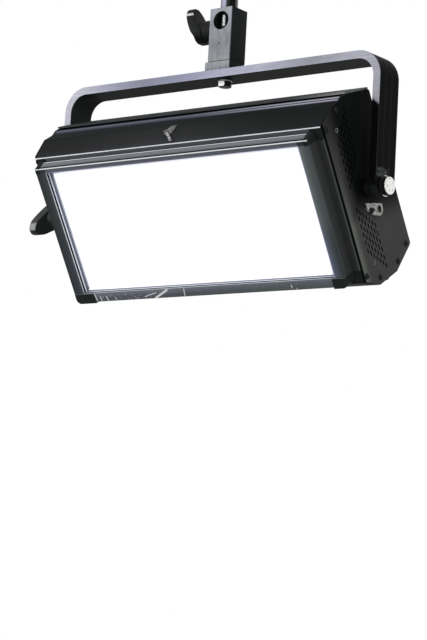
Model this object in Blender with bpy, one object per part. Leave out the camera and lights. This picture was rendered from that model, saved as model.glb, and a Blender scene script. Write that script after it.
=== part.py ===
"""A hanging LED soft light, modelled at its real size in metres.

A shallow housing with a glowing front panel tilts between the arms of a flat-bar yoke. A block on
top of the yoke turns on a hanging spigot pin. The origin is the middle of the pin's top face, +Z is
up and the light faces -Y. The housing is modelled level about its tilt axis, and its parent empty
tilts it forward.
"""

import math

import bmesh
import bpy
from mathutils import Matrix, Vector

# Clearances
GAP = 0.0003
HOLE_CLEARANCE = 0.0003
THROUGH = 0.004

# Hanging spigot pin
PIN_RADIUS = 0.014
PIN_EXPOSED = 0.080
PIN_DEPTH = 0.056
PIN_CHAMFER = 0.0015
PIN_GROOVE_DROP = 0.030
PIN_GROOVE_WIDTH = 0.008
PIN_GROOVE_DEPTH = 0.0015

# Spigot block and its foot
BLOCK_WIDTH = 0.0445
BLOCK_DEPTH = 0.040
BLOCK_HEIGHT = 0.0877
FOOT_HEIGHT = 0.016
FOOT_LEFT = 0.028
FOOT_BEVEL = 0.0012
CROSS_BORE_RADIUS = 0.015
CROSS_BORE_DROP = 0.021
CROSS_BORE_CHAMFER = 0.0007
CLAMP_DROP = 0.0323

# Bolt that holds the block to the yoke
BOLT_RADIUS = 0.006
BOLT_FLATS = 0.020
BOLT_HEAD_HEIGHT = 0.0085
BOLT_REACH = 0.030
BOLT_WASHER_RADIUS = 0.0118
BOLT_WASHER_THICKNESS = 0.0018

# Flat-bar yoke
ARM_CLEARANCE = 0.0178
BAR_THICKNESS = 0.0127
BAR_DEPTH = 0.0525
YOKE_BEND_RADIUS = 0.0425
PIVOT_DROP = 0.210
ARM_PAST_PIVOT = 0.0165
YOKE_GROOVE_WIDTH = 0.0024
YOKE_GROOVE_DEPTH = 0.0009
YOKE_GROOVE_STOP = 0.030
YOKE_BEVEL = 0.0009

# Clamping levers
HUB_RADIUS = 0.0194
HUB_LENGTH = 0.034
HUB_CHAMFER = 0.003
LEVER_TIP_HEIGHT = 0.0433
LEVER_TIP_ROUND = 0.0153
LEVER_BASE_HALF_WIDTH = 0.0215
LEVER_TIP_HALF_WIDTH = 0.0120
LEVER_FACE_INSET = 0.0010
LEVER_FACE_BEND = 0.0080
LEVER_FACE_LEAN = 0.0240
LEVER_FACE_BOW = 0.0040
LEVER_BACK_BASE = 0.0180
LEVER_BACK_LEAN = 0.0255
LEVER_BACK_BOW = 0.0028
LEVER_END_ANGLE = math.radians(75)
LEVER_EDGE = 0.0012
STUD_RADIUS = 0.006
STUD_IN_HUB = 0.018
TILT_LEVER_TURN = math.radians(137)

# Tilt pivots
TILT = math.radians(32.23)
PIVOT_RADIUS = 0.008
PIVOT_FLANGE_RADIUS = 0.014
PIVOT_FLANGE_THICKNESS = 0.004
SPACER_RADIUS = 0.0145
PIVOT_WASHER_RADIUS = 0.0163
PIVOT_WASHER_THICKNESS = 0.0016
NUT_RADIUS = 0.0128
NUT_HEIGHT = 0.0050
CAP_RADIUS = 0.0135
CAP_THICKNESS = 0.0024

# Housing walls. Depths run from the front, -Y, to the rear, +Y, and start at the tilt axis.
HOUSING_HALF_WIDTH = 0.2845
SIDE_PLATE_THICKNESS = 0.003
SHEET = 0.002
COVER_ROOF = 0.003
HOUSING_FRONT = -0.0748
HOUSING_REAR = 0.073
FRONT_EDGE_HEIGHT = 0.1266
SLOPE_DEPTH = 0.0383
SLOPE_RISE = 0.0183
TOP_FLAT_DEPTH = 0.0214
STRIP_DEPTH = 0.0113
STRIP_RISE = 0.0044
STRIP_STEP = 0.0012
TOP_GROOVE_WIDTH = 0.0088
TOP_GROOVE_DEPTH = 0.0066
TOP_LEDGE = 0.010
REAR_TOP_FALL = 0.0148
BOTTOM_FALL = 0.0189
BOTTOM_FLAT_DEPTH = 0.0535
REAR_BOTTOM_RISE = 0.0225
REAR_CORNER = 0.003
PLATE_SETBACK = 0.0040

# Front frame around the glowing panel, worked inwards from the housing's edges
FRAME_PROUD = 0.0229
FRAME_LAP = 0.003
FLANGE_PLAY = 0.0005
FLANGE_DROP = 0.0028
SIDE_BORDER = 0.0321
SIDE_RAIL_WIDTH = 0.0196
TOP_BORDER = 0.0176
TOP_RAIL_WIDTH = 0.0085
BOTTOM_RAIL_WIDTH = 0.0153
SEAT_PROUD = 0.0008
REBATE = 0.0086
REVEAL_LIP = 0.0026
REVEAL_GROOVE = 0.0037
REVEAL_GROOVE_DEPTH = 0.0015
REVEAL_RIDGE = 0.0057
REVEAL_SLANT = 0.0035
REVEAL_SLANT_DEPTH = 0.002
TOP_LIP_WIDTH = 0.0018
TOP_LIP_GROOVE = 0.0020
TOP_BAND_DEPTH = 0.0152
TOP_RIDGE_RISE = 0.0050
TOP_RIDGE_WIDTH = 0.0020
TOP_CHANNEL_RISE = 0.0018
TOP_CAP_LENGTH = 0.008
TOP_CAP_PROUD = 0.0012
LEFT_CORNER_LENGTH = 0.0405
RIGHT_CORNER_LENGTH = 0.0255
CORNER_RADIUS = 0.009
CORNER_PROUD = 0.0004
CORNER_FACE = 0.0010

# Glowing panel and light engine
DIFFUSER_THICKNESS = 0.003
DIFFUSER_EDGE_PLAY = 0.0007
CHAMBER_WALL = 0.0015
CHAMBER_FLANGE = 0.002
CHAMBER_MOUTH_BORDER = 0.0055
CHAMBER_FLOOR_DEPTH = 0.0485
CHAMBER_TAPER = 0.034
BOARD_THICKNESS = 0.0016
BOARD_INNER = 0.002
BOARD_SIDE_MARGIN = 0.0093
BOARD_EDGE_MARGIN = 0.001
SINK_BASE = 0.005
SINK_SIDE_MARGIN = 0.0123
SINK_FAN_CLEARANCE = 0.0169
SINK_FIN_THICKNESS = 0.0025
SINK_FIN_PITCH = 0.030
SINK_SHORT_FIN_HEIGHT = 0.0155

# Cooling fans on the rear cover
FAN_SIZE = 0.080
FAN_DEPTH = 0.025
FAN_TO_BOARD = 0.023
FAN_HEIGHT = 0.020
FAN_RIM = 0.003
FAN_HUB_RADIUS = 0.016
FAN_SHAFT_RADIUS = 0.0025
FAN_SPIDER = 0.003
FAN_BLADES = 7
FAN_BLADE_CLEARANCE = 0.0015
FAN_BLADE_THICKNESS = 0.0022
FAN_BLADE_TWIST = math.radians(24)
FAN_SPIDER_ARMS = 3
FAN_SPIDER_ARM_WIDTH = 0.006
GRILLE_SLOTS = 7
GRILLE_PITCH = 0.0095
GRILLE_SLOT = 0.0036

# Power supply and control board
SUPPLY_TO_FAN = 0.013
SUPPLY_HALF_HEIGHT = 0.060
SUPPLY_DEPTH = 0.030
SUPPLY_BEVEL = 0.002
CONTROL_BOARD_MARGIN = 0.0195
CONTROL_BOARD_WIDTH = 0.094
CONTROL_BOARD_LOW = -0.082
CONTROL_BOARD_HIGH = 0.058

# Controls and sockets on the rear cover
CONTROL_DEPTH = 0.0195
SOCKET_COLUMN_INSET = 0.027
SOCKET_IN_HEIGHT = 0.030
SOCKET_OUT_HEIGHT = -0.010
SOCKET_FLANGE = 0.026
SOCKET_RADIUS = 0.0105
SOCKET_CAVITY_RADIUS = 0.0085
SOCKET_CAVITY_DEPTH = 0.014
SOCKET_FLANGE_THICKNESS = 0.002
INLET_HEIGHT = -0.056
INLET_WIDTH = 0.028
INLET_TALL = 0.022
INLET_CAVITY_WIDTH = 0.022
INLET_CAVITY_TALL = 0.015
INLET_FLANGE = 0.003
SWITCH_COLUMN_INSET = 0.022
SWITCH_HEIGHT = -0.056
SWITCH_WIDTH = 0.013
SWITCH_TALL = 0.019
SWITCH_THROW = math.radians(10)
SWITCH_PROUD = 0.003
SWITCH_DIP = 0.001
SWITCH_FRAME = 0.002
KNOB_HEIGHT = 0.012
KNOB_RADIUS = 0.0105
KNOB_LENGTH = 0.013
KNOB_SHAFT_RADIUS = 0.003
KNOB_FLUTES = 12
KNOB_FLUTE_DEPTH = 0.0008
KNOB_CHAMFER = 0.0013

# Vent slots in the side plates
VENT_COLUMNS = 7
VENT_COLUMN_PITCH = 0.00625
VENT_SLOT_PITCH = 0.0133
VENT_SLOT_LENGTH = 0.0084
VENT_SLOT_WIDTH = 0.0030
VENT_SETBACK = 0.0262
VENT_START = 0.0195
VENT_SLANT = 0.00655
VENT_SLOTS = 6

# Button-head screws
SCREW_HEAD_RADIUS = 0.00475
SCREW_HEAD_HEIGHT = 0.0027
SCREW_SHANK_RADIUS = 0.0024
SCREW_LENGTH = 0.008
SCREW_SOCKET_RADIUS = 0.0017
SCREW_SOCKET_DEPTH = 0.0014
DOME_SHARES = ((0.93, 0.45), (0.68, 0.85), (0.42, 1.0))

# Safety eye on the right plate
EYE_SHEET = 0.003
EYE_FRONT = -0.0258
EYE_TOP_FRONT = -0.0154
EYE_TOP_SLOPE = math.radians(-23)
EYE_BEND = -0.0072
EYE_STEP = 0.003
EYE_SCREW_DEPTH = -0.0140
EYE_SCREW_HEIGHT = -0.0325
EYE_LUG_RADIUS = 0.0100
EYE_LUG_DEPTH = 0.0003
EYE_LUG_HEIGHT = -0.0360
EYE_HOLE_RADIUS = 0.0042
EYE_STAND_OFF = 0.0095

# Turning latch on the front slope
LATCH_X = -0.0190
LATCH_UP_SLOPE = 0.0242
LATCH_PLATE_LENGTH = 0.0180
LATCH_PLATE_WIDTH = 0.0176
LATCH_PLATE_BORDER = 0.0036
LATCH_SHEET = 0.0018
LATCH_ARM_LENGTH = 0.0290
LATCH_ARM_WIDTH = 0.0046
LATCH_TURN = math.radians(43)
LATCH_TAB_LENGTH = 0.0045
LATCH_SCREW_RADIUS = 0.0030
LATCH_SCREW_SHANK = 0.0018
LATCH_SCREW_HEAD = 0.002
LATCH_SCREW_CROWN_RADIUS = 0.0020

# Facets
ROUND_STEPS = 32
FINE_STEPS = 24
SMALL_STEPS = 16
SCREW_STEPS = 12
BEND_STEPS = 8
PADDLE_STEPS = 5

# Places that several pieces share
BLOCK_BOTTOM = -(PIN_EXPOSED + BLOCK_HEIGHT)
CROSS_BORE_HEIGHT = -PIN_EXPOSED - CROSS_BORE_DROP
CLAMP_HEIGHT = -PIN_EXPOSED - CLAMP_DROP
YOKE_TOP = BLOCK_BOTTOM - GAP - FOOT_HEIGHT
PIVOT_HEIGHT = YOKE_TOP - PIVOT_DROP
ARM_INNER = HOUSING_HALF_WIDTH + ARM_CLEARANCE
ARM_OUTER = ARM_INNER + BAR_THICKNESS
SIDE_INNER = HOUSING_HALF_WIDTH - SIDE_PLATE_THICKNESS
SHELL_HALF_WIDTH = SIDE_INNER - GAP
PLATE_FRONT = HOUSING_FRONT + PLATE_SETBACK
SLOPE_END = HOUSING_FRONT + SLOPE_DEPTH
STRIP_FRONT = SLOPE_END + TOP_FLAT_DEPTH
STRIP_REAR = STRIP_FRONT + STRIP_DEPTH
BOTTOM_FLAT_END = SLOPE_END + BOTTOM_FLAT_DEPTH
TOP_HEIGHT = FRONT_EDGE_HEIGHT + SLOPE_RISE
CREST_HEIGHT = TOP_HEIGHT + STRIP_RISE
REAR_TOP_HEIGHT = CREST_HEIGHT - REAR_TOP_FALL
BOTTOM_HEIGHT = FRONT_EDGE_HEIGHT + BOTTOM_FALL
REAR_BOTTOM_HEIGHT = BOTTOM_HEIGHT - REAR_BOTTOM_RISE
COVER_INNER = HOUSING_REAR - SHEET

# Front frame
FRAME_FRONT = HOUSING_FRONT - FRAME_PROUD
FRAME_BACK = HOUSING_FRONT + FRAME_LAP
SEAT = HOUSING_FRONT - SEAT_PROUD
FLANGE_HALF_WIDTH = SIDE_INNER - FLANGE_PLAY
LIP_HALF_WIDTH = FLANGE_HALF_WIDTH - SIDE_BORDER
FRAME_HALF_WIDTH = LIP_HALF_WIDTH + SIDE_RAIL_WIDTH
FLANGE_HEIGHT = FRONT_EDGE_HEIGHT - FLANGE_DROP
LIP_HALF_HEIGHT = FLANGE_HEIGHT - TOP_BORDER
FRAME_TOP = LIP_HALF_HEIGHT + TOP_RAIL_WIDTH
FRAME_BOTTOM = LIP_HALF_HEIGHT + BOTTOM_RAIL_WIDTH
TOP_BAND_REAR = FRAME_FRONT + TOP_BAND_DEPTH
TOP_RIDGE_HEIGHT = FRAME_TOP + TOP_RIDGE_RISE
TOP_CHANNEL_FLOOR = FRAME_TOP + TOP_CHANNEL_RISE
TOP_CAP_START = FRAME_HALF_WIDTH - TOP_CAP_LENGTH
LEFT_CORNER_START = FRAME_HALF_WIDTH - LEFT_CORNER_LENGTH
RIGHT_CORNER_START = FRAME_HALF_WIDTH - RIGHT_CORNER_LENGTH

# Light engine, from the front, and what the rear cover carries, from its right end
DIFFUSER_FRONT = SEAT + GAP
CHAMBER_FRONT = DIFFUSER_FRONT + DIFFUSER_THICKNESS + GAP
CHAMBER_FLOOR = CHAMBER_FRONT + CHAMBER_FLOOR_DEPTH
CHAMBER_FLANGE_X = LIP_HALF_WIDTH + REBATE - DIFFUSER_EDGE_PLAY
CHAMBER_FLANGE_Z = LIP_HALF_HEIGHT - DIFFUSER_EDGE_PLAY
CHAMBER_FLOOR_X = CHAMBER_FLANGE_X - CHAMBER_MOUTH_BORDER - CHAMBER_TAPER
CHAMBER_FLOOR_Z = CHAMBER_FLANGE_Z - CHAMBER_MOUTH_BORDER - CHAMBER_TAPER
CONTROL_BOARD_REAR = COVER_INNER - CONTROL_DEPTH - GAP
CONTROL_BOARD_RIGHT = SIDE_INNER - CONTROL_BOARD_MARGIN
CONTROL_BOARD_LEFT = CONTROL_BOARD_RIGHT - CONTROL_BOARD_WIDTH
SOCKET_X = CONTROL_BOARD_LEFT + SOCKET_COLUMN_INSET
SWITCH_X = CONTROL_BOARD_RIGHT - SWITCH_COLUMN_INSET
FAN_OFFSET = CONTROL_BOARD_LEFT - FAN_TO_BOARD - FAN_SIZE / 2
FAN_FRONT = COVER_INNER - GAP - FAN_DEPTH
FAN_BORE_RADIUS = FAN_SIZE / 2 - FAN_RIM
SUPPLY_HALF_WIDTH = FAN_OFFSET - FAN_SIZE / 2 - SUPPLY_TO_FAN

# Vents and screws on the side plates, from the edges that they follow: depth and height of each
VENT_FRONT = PLATE_FRONT + VENT_SETBACK
PLATE_SCREWS = {
    "front_top": (PLATE_FRONT + 0.0043, FRONT_EDGE_HEIGHT - 0.0088),
    "upper": (SLOPE_END + 0.0069, TOP_HEIGHT - 0.0084),
    "front_bottom": (PLATE_FRONT + 0.0048, 0.0076 - FRONT_EDGE_HEIGHT),
    "lower_front": (SLOPE_END + 0.0050, 0.0107 - BOTTOM_HEIGHT),
    "lower_middle": (BOTTOM_FLAT_END + 0.0088, 0.0132 - BOTTOM_HEIGHT),
    "lower_rear": (HOUSING_REAR - 0.0130, 0.0060 - REAR_BOTTOM_HEIGHT),
}


class Finish:
    """Colour, metallic value and roughness of each finish, made into a material when first used."""

    looks = {
        "black_paint": ((0.030, 0.032, 0.031), 0.1, 0.45),
        "black_plastic": ((0.020, 0.020, 0.021), 0.0, 0.50),
        "anodised_bar": ((0.20, 0.20, 0.215), 0.8, 0.35),
        "zinc": ((0.70, 0.70, 0.72), 1.0, 0.28),
        "aluminium": ((0.66, 0.66, 0.68), 1.0, 0.40),
        "white_paint": ((0.85, 0.85, 0.84), 0.0, 0.60),
        "diffuser": ((0.95, 0.95, 0.94), 0.0, 0.55),
        "circuit_board": ((0.04, 0.16, 0.08), 0.0, 0.50),
    }

    @classmethod
    def material(cls, name):
        found = bpy.data.materials.get(name)
        if found:
            return found
        colour, metallic, roughness = cls.looks[name]
        made = bpy.data.materials.new(name)
        made.use_nodes = True
        shader = made.node_tree.nodes["Principled BSDF"]
        shader.inputs["Base Color"].default_value = (*colour, 1.0)
        shader.inputs["Metallic"].default_value = metallic
        shader.inputs["Roughness"].default_value = roughness
        made.diffuse_color = (*colour, 1.0)
        return made


def clear_scene():
    for old in list(bpy.data.objects):
        bpy.data.objects.remove(old)


def axis_empty(name, place, parent=None, turn=(0.0, 0.0, 0.0)):
    """An empty that stands on a joint's axis and carries what turns about it."""
    empty = bpy.data.objects.new(name, None)
    bpy.context.collection.objects.link(empty)
    empty.location = place
    empty.rotation_euler = turn
    empty.parent = parent
    return empty


def add(name, shape, finish, home=None, smooth=False):
    """Turn a bmesh into a named object with its finish, under its joint's empty."""
    bmesh.ops.recalc_face_normals(shape, faces=shape.faces)
    mesh = bpy.data.meshes.new(name)
    shape.to_mesh(mesh)
    shape.free()
    mesh.materials.append(Finish.material(finish))
    if smooth:
        mesh.shade_smooth()
        mesh.set_sharp_from_angle(angle=math.radians(35))
    piece = bpy.data.objects.new(name, mesh)
    bpy.context.collection.objects.link(piece)
    piece.parent = home
    return piece


def helper(owner, name, shape, operation):
    """A hidden helper object, and the Boolean on its owner that uses it."""
    made = add(f"{owner.name}_{name}", shape, owner.data.materials[0].name, owner.parent)
    made.hide_render = True
    made.display_type = "WIRE"
    boolean = owner.modifiers.new(name, "BOOLEAN")
    boolean.operation = operation
    boolean.solver = "EXACT"
    boolean.object = made
    return boolean


def cut(owner, name, shape):
    return helper(owner, name, shape, "DIFFERENCE")


def join(owner, name, shape):
    return helper(owner, name, shape, "UNION")


def keep_inside(owner, name, shape):
    return helper(owner, name, shape, "INTERSECT")


def soften(owner, width, segments=1):
    bevel = owner.modifiers.new("edges", "BEVEL")
    bevel.width = width
    bevel.segments = segments
    bevel.limit_method = "ANGLE"
    bevel.angle_limit = math.radians(50)
    bevel.use_clamp_overlap = True
    return bevel


AXIS_PLANES = {
    "X": lambda a, b, along: Vector((along, a, b)),
    "Y": lambda a, b, along: Vector((a, along, b)),
    "Z": lambda a, b, along: Vector((a, b, along)),
}


def prism(outlines, low, high, axis):
    """Extrude closed outlines, each a list of points across the axis, from low to high."""
    shape = bmesh.new()
    place = AXIS_PLANES[axis]
    for outline in outlines:
        face = shape.faces.new([shape.verts.new(place(a, b, low)) for a, b in outline])
        grown = bmesh.ops.extrude_face_region(shape, geom=[face])["geom"]
        moved = [item for item in grown if isinstance(item, bmesh.types.BMVert)]
        bmesh.ops.translate(shape, verts=moved, vec=place(0, 0, high - low))
    return shape


def box(x_range, y_range, z_range):
    (x0, x1), (y0, y1), (z0, z1) = x_range, y_range, z_range
    return prism([[(x0, y0), (x1, y0), (x1, y1), (x0, y1)]], z0, z1, "Z")


def turned(profile, axis, centre=(0.0, 0.0), steps=ROUND_STEPS):
    """Turn a profile of (radius, along) points about a line that runs along the axis.

    A profile that starts and ends on the line is solid there. Any other profile is a ring, and
    its last point joins its first.
    """
    shape = bmesh.new()
    place = AXIS_PLANES[axis]
    rings = []
    for radius, along in profile:
        if radius == 0:
            rings.append([shape.verts.new(place(centre[0], centre[1], along))])
            continue
        angles = [math.tau * step / steps for step in range(steps)]
        ring = [(centre[0] + radius * math.cos(a), centre[1] + radius * math.sin(a)) for a in angles]
        rings.append([shape.verts.new(place(a, b, along)) for a, b in ring])
    pairs = list(zip(rings, rings[1:]))
    if profile[0][0] != 0:
        pairs.append((rings[-1], rings[0]))
    for first, second in pairs:
        for step in range(steps):
            after = (step + 1) % steps
            corners = [first[step % len(first)], first[after % len(first)]]
            corners += [second[after % len(second)], second[step % len(second)]]
            unique = list(dict.fromkeys(corners))
            if len(unique) > 2:
                shape.faces.new(unique)
    return shape


def rod(radius, low, high, axis, centre=(0.0, 0.0), steps=FINE_STEPS):
    return turned([(0, low), (radius, low), (radius, high), (0, high)], axis, centre, steps)


def ring(outer, inner, low, high, axis, centre=(0.0, 0.0), steps=ROUND_STEPS):
    profile = [(outer, low), (outer, high), (inner, high), (inner, low)]
    return turned(profile, axis, centre, steps)


def loft(sections):
    """Bridge closed loops of points, all of one length, and cap the two ends."""
    shape = bmesh.new()
    loops = [[shape.verts.new(point) for point in section] for section in sections]
    count = len(loops[0])
    for first, second in zip(loops, loops[1:]):
        for step in range(count):
            after = (step + 1) % count
            shape.faces.new([first[step], first[after], second[after], second[step]])
    shape.faces.new(loops[0][::-1])
    shape.faces.new(loops[-1])
    return shape


def arc(centre, radius, start, end, steps):
    """Points on a round stretch, from the start angle to the end angle in degrees."""
    angles = [math.radians(start + (end - start) * step / steps) for step in range(steps + 1)]
    return [(centre[0] + radius * math.cos(a), centre[1] + radius * math.sin(a)) for a in angles]


def hanging_spigot():
    groove_top = -PIN_GROOVE_DROP
    groove_low = groove_top - PIN_GROOVE_WIDTH
    waist = PIN_RADIUS - PIN_GROOVE_DEPTH
    bottom = -PIN_EXPOSED - PIN_DEPTH
    profile = [
        (0, 0),
        (PIN_RADIUS - PIN_CHAMFER, 0),
        (PIN_RADIUS, -PIN_CHAMFER),
        (PIN_RADIUS, groove_top),
        (waist, groove_top - PIN_GROOVE_DEPTH),
        (waist, groove_low + PIN_GROOVE_DEPTH),
        (PIN_RADIUS, groove_low),
        (PIN_RADIUS, bottom + PIN_CHAMFER),
        (PIN_RADIUS - PIN_CHAMFER, bottom),
        (0, bottom),
    ]
    add("hanging_spigot", turned(profile, "Z"), "zinc", smooth=True)


def spigot_block(pan):
    half = BLOCK_WIDTH / 2
    depth = BLOCK_DEPTH / 2
    block = add(
        "spigot_block",
        box((-half, half), (-depth, depth), (BLOCK_BOTTOM, -PIN_EXPOSED)),
        "black_paint",
        pan,
    )
    bore_floor = -PIN_EXPOSED - PIN_DEPTH - GAP
    bore_radius = PIN_RADIUS + HOLE_CLEARANCE
    cut(block, "pin_bore", rod(bore_radius, bore_floor, -PIN_EXPOSED + THROUGH, "Z", steps=ROUND_STEPS))
    cross = (0.0, CROSS_BORE_HEIGHT)
    wide = CROSS_BORE_RADIUS + CROSS_BORE_CHAMFER
    profile = [
        (0, -depth - THROUGH),
        (wide + THROUGH, -depth - THROUGH),
        (CROSS_BORE_RADIUS, -depth + CROSS_BORE_CHAMFER),
        (CROSS_BORE_RADIUS, depth - CROSS_BORE_CHAMFER),
        (wide + THROUGH, depth + THROUGH),
        (0, depth + THROUGH),
    ]
    cut(block, "cross_bore", turned(profile, "Y", cross))
    clamp = (0.0, CLAMP_HEIGHT)
    stud_hole = rod(STUD_RADIUS + HOLE_CLEARANCE, -half - THROUGH, 0, "X", clamp, SMALL_STEPS)
    cut(block, "clamp_hole", stud_hole)
    bolt_top = YOKE_TOP + BOLT_REACH + GAP
    bolt_hole = rod(BOLT_RADIUS + HOLE_CLEARANCE, BLOCK_BOTTOM - THROUGH, bolt_top, "Z")
    cut(block, "bolt_hole", bolt_hole)


def block_foot(pan):
    depth = BLOCK_DEPTH / 2
    foot = add(
        "block_foot",
        box((-FOOT_LEFT, BLOCK_WIDTH / 2), (-depth, depth), (YOKE_TOP + GAP, BLOCK_BOTTOM - GAP)),
        "black_paint",
        pan,
    )
    soften(foot, FOOT_BEVEL)
    low = YOKE_TOP - THROUGH
    cut(foot, "bolt_hole", rod(BOLT_RADIUS + HOLE_CLEARANCE, low, BLOCK_BOTTOM + THROUGH, "Z"))


def yoke_bolt(pan):
    seat = YOKE_TOP - BAR_THICKNESS
    washer_low = seat - GAP - BOLT_WASHER_THICKNESS
    washer = ring(BOLT_WASHER_RADIUS, BOLT_RADIUS + HOLE_CLEARANCE, washer_low, seat - GAP, "Z")
    add("yoke_washer", washer, "zinc", pan, smooth=True)
    head_top = washer_low - GAP
    across = BOLT_FLATS / math.sqrt(3)
    head = rod(across, head_top - BOLT_HEAD_HEIGHT, head_top, "Z", steps=6)
    bolt = add("yoke_bolt", head, "zinc", pan)
    crown_profile = [
        (0, head_top - BOLT_HEAD_HEIGHT),
        (BOLT_FLATS / 2, head_top - BOLT_HEAD_HEIGHT),
        (across + THROUGH, head_top - BOLT_HEAD_HEIGHT + THROUGH),
        (across + THROUGH, head_top + THROUGH),
        (0, head_top + THROUGH),
    ]
    keep_inside(bolt, "crown", turned(crown_profile, "Z"))
    join(bolt, "shank", rod(BOLT_RADIUS, head_top - GAP, YOKE_TOP + BOLT_REACH, "Z"))


def yoke_path(offset, drop):
    """The yoke's outline in X and Z, moved inwards by the offset, with its ends a drop below the top."""
    half = ARM_OUTER - offset
    top = YOKE_TOP - offset
    radius = YOKE_BEND_RADIUS - offset
    bend = top - radius
    left = arc((-half + radius, bend), radius, 180, 90, BEND_STEPS)
    right = arc((half - radius, bend), radius, 90, 0, BEND_STEPS)
    return [(-half, YOKE_TOP - drop)] + left + right + [(half, YOKE_TOP - drop)]


def yoke(pan):
    half_depth = BAR_DEPTH / 2
    arm_length = PIVOT_DROP + ARM_PAST_PIVOT
    outline = yoke_path(0, arm_length) + yoke_path(BAR_THICKNESS, arm_length)[::-1]
    bar = add("yoke", prism([outline], -half_depth, half_depth, "Y"), "anodised_bar", pan)
    soften(bar, YOKE_BEVEL)
    end_centre = (0.0, YOKE_TOP - arm_length + half_depth)
    arm_end = arc(end_centre, half_depth - GAP / 2, 180, 360, 2 * BEND_STEPS)
    above = YOKE_TOP + THROUGH
    side = half_depth + THROUGH
    shoulder = end_centre[1] + THROUGH
    stadium = [(side, shoulder), (side, above), (-side, above), (-side, shoulder)] + arm_end
    reach = ARM_OUTER + THROUGH
    keep_inside(bar, "round_arm_ends", prism([stadium], -reach, reach, "X"))
    groove_end = PIVOT_DROP - YOKE_GROOVE_STOP
    strip = yoke_path(-THROUGH, groove_end)
    strip += yoke_path(YOKE_GROOVE_DEPTH, groove_end)[::-1]
    for index, sign in enumerate((-1, 1)):
        low = sign * BAR_DEPTH / 6 - YOKE_GROOVE_WIDTH / 2
        cut(bar, f"groove_{index}", prism([strip], low, low + YOKE_GROOVE_WIDTH, "Y"))
    pivot = (0.0, PIVOT_HEIGHT)
    cut(bar, "pivot_holes", rod(PIVOT_RADIUS + HOLE_CLEARANCE, -reach, reach, "X", pivot))
    low = YOKE_TOP - BAR_THICKNESS - THROUGH
    cut(bar, "bolt_hole", rod(BOLT_RADIUS + HOLE_CLEARANCE, low, YOKE_TOP + THROUGH, "Z"))


def bowed(height, low, lean, bow):
    """How far a leaning, bowed face stands out at a height, where it starts to lean at low."""
    share = max(0.0, (height - low) / (LEVER_TIP_HEIGHT - low))
    return lean * share + 4 * bow * share * (1 - share)


def paddle():
    """The lever's flat-sided paddle: square sections from the hub's underside to a round tip."""
    round_from = LEVER_TIP_HEIGHT - LEVER_TIP_ROUND
    taper = (LEVER_BASE_HALF_WIDTH - LEVER_TIP_HALF_WIDTH) / LEVER_TIP_HEIGHT
    stations = []
    for step in range(PADDLE_STEPS):
        angle = math.pi / 2 - LEVER_END_ANGLE * (1 - step / PADDLE_STEPS)
        stations.append((-HUB_RADIUS * math.cos(angle), LEVER_BASE_HALF_WIDTH * math.sin(angle)))
    for step in range(PADDLE_STEPS):
        height = round_from * step / PADDLE_STEPS
        stations.append((height, LEVER_BASE_HALF_WIDTH - taper * height))
    for step in range(PADDLE_STEPS + 1):
        angle = LEVER_END_ANGLE * step / PADDLE_STEPS
        height = round_from + LEVER_TIP_ROUND * math.sin(angle)
        stations.append((height, (LEVER_BASE_HALF_WIDTH - taper * height) * math.cos(angle)))
    sections = []
    for height, half_width in stations:
        face = LEVER_FACE_INSET - HUB_LENGTH
        face -= bowed(height, -LEVER_FACE_BEND, LEVER_FACE_LEAN, LEVER_FACE_BOW)
        back = -LEVER_BACK_BASE - bowed(height, 0.0, LEVER_BACK_LEAN, LEVER_BACK_BOW)
        corners = ((face, -half_width), (face, half_width), (back, half_width), (back, -half_width))
        sections.append([Vector((x, y, height)) for x, y in corners])
    return loft(sections)


def clamping_lever(name, home, stud_end):
    """A hub with a paddle, and the threaded stud that it turns, along the empty's own -X."""
    profile = [
        (0, -GAP),
        (HUB_RADIUS, -GAP),
        (HUB_RADIUS, -HUB_LENGTH + HUB_CHAMFER),
        (HUB_RADIUS - HUB_CHAMFER, -HUB_LENGTH),
        (0, -HUB_LENGTH),
    ]
    lever = add(name, paddle(), "black_plastic", home, smooth=True)
    soften(lever, LEVER_EDGE, 2)
    join(lever, "hub", turned(profile, "X"))
    hole_radius = STUD_RADIUS + HOLE_CLEARANCE
    cut(lever, "stud_hole", rod(hole_radius, -STUD_IN_HUB - GAP, THROUGH, "X", steps=SMALL_STEPS))
    stud = rod(STUD_RADIUS, -STUD_IN_HUB, stud_end, "X", steps=SMALL_STEPS)
    add(f"{name}_stud", stud, "zinc", home, smooth=True)


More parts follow.
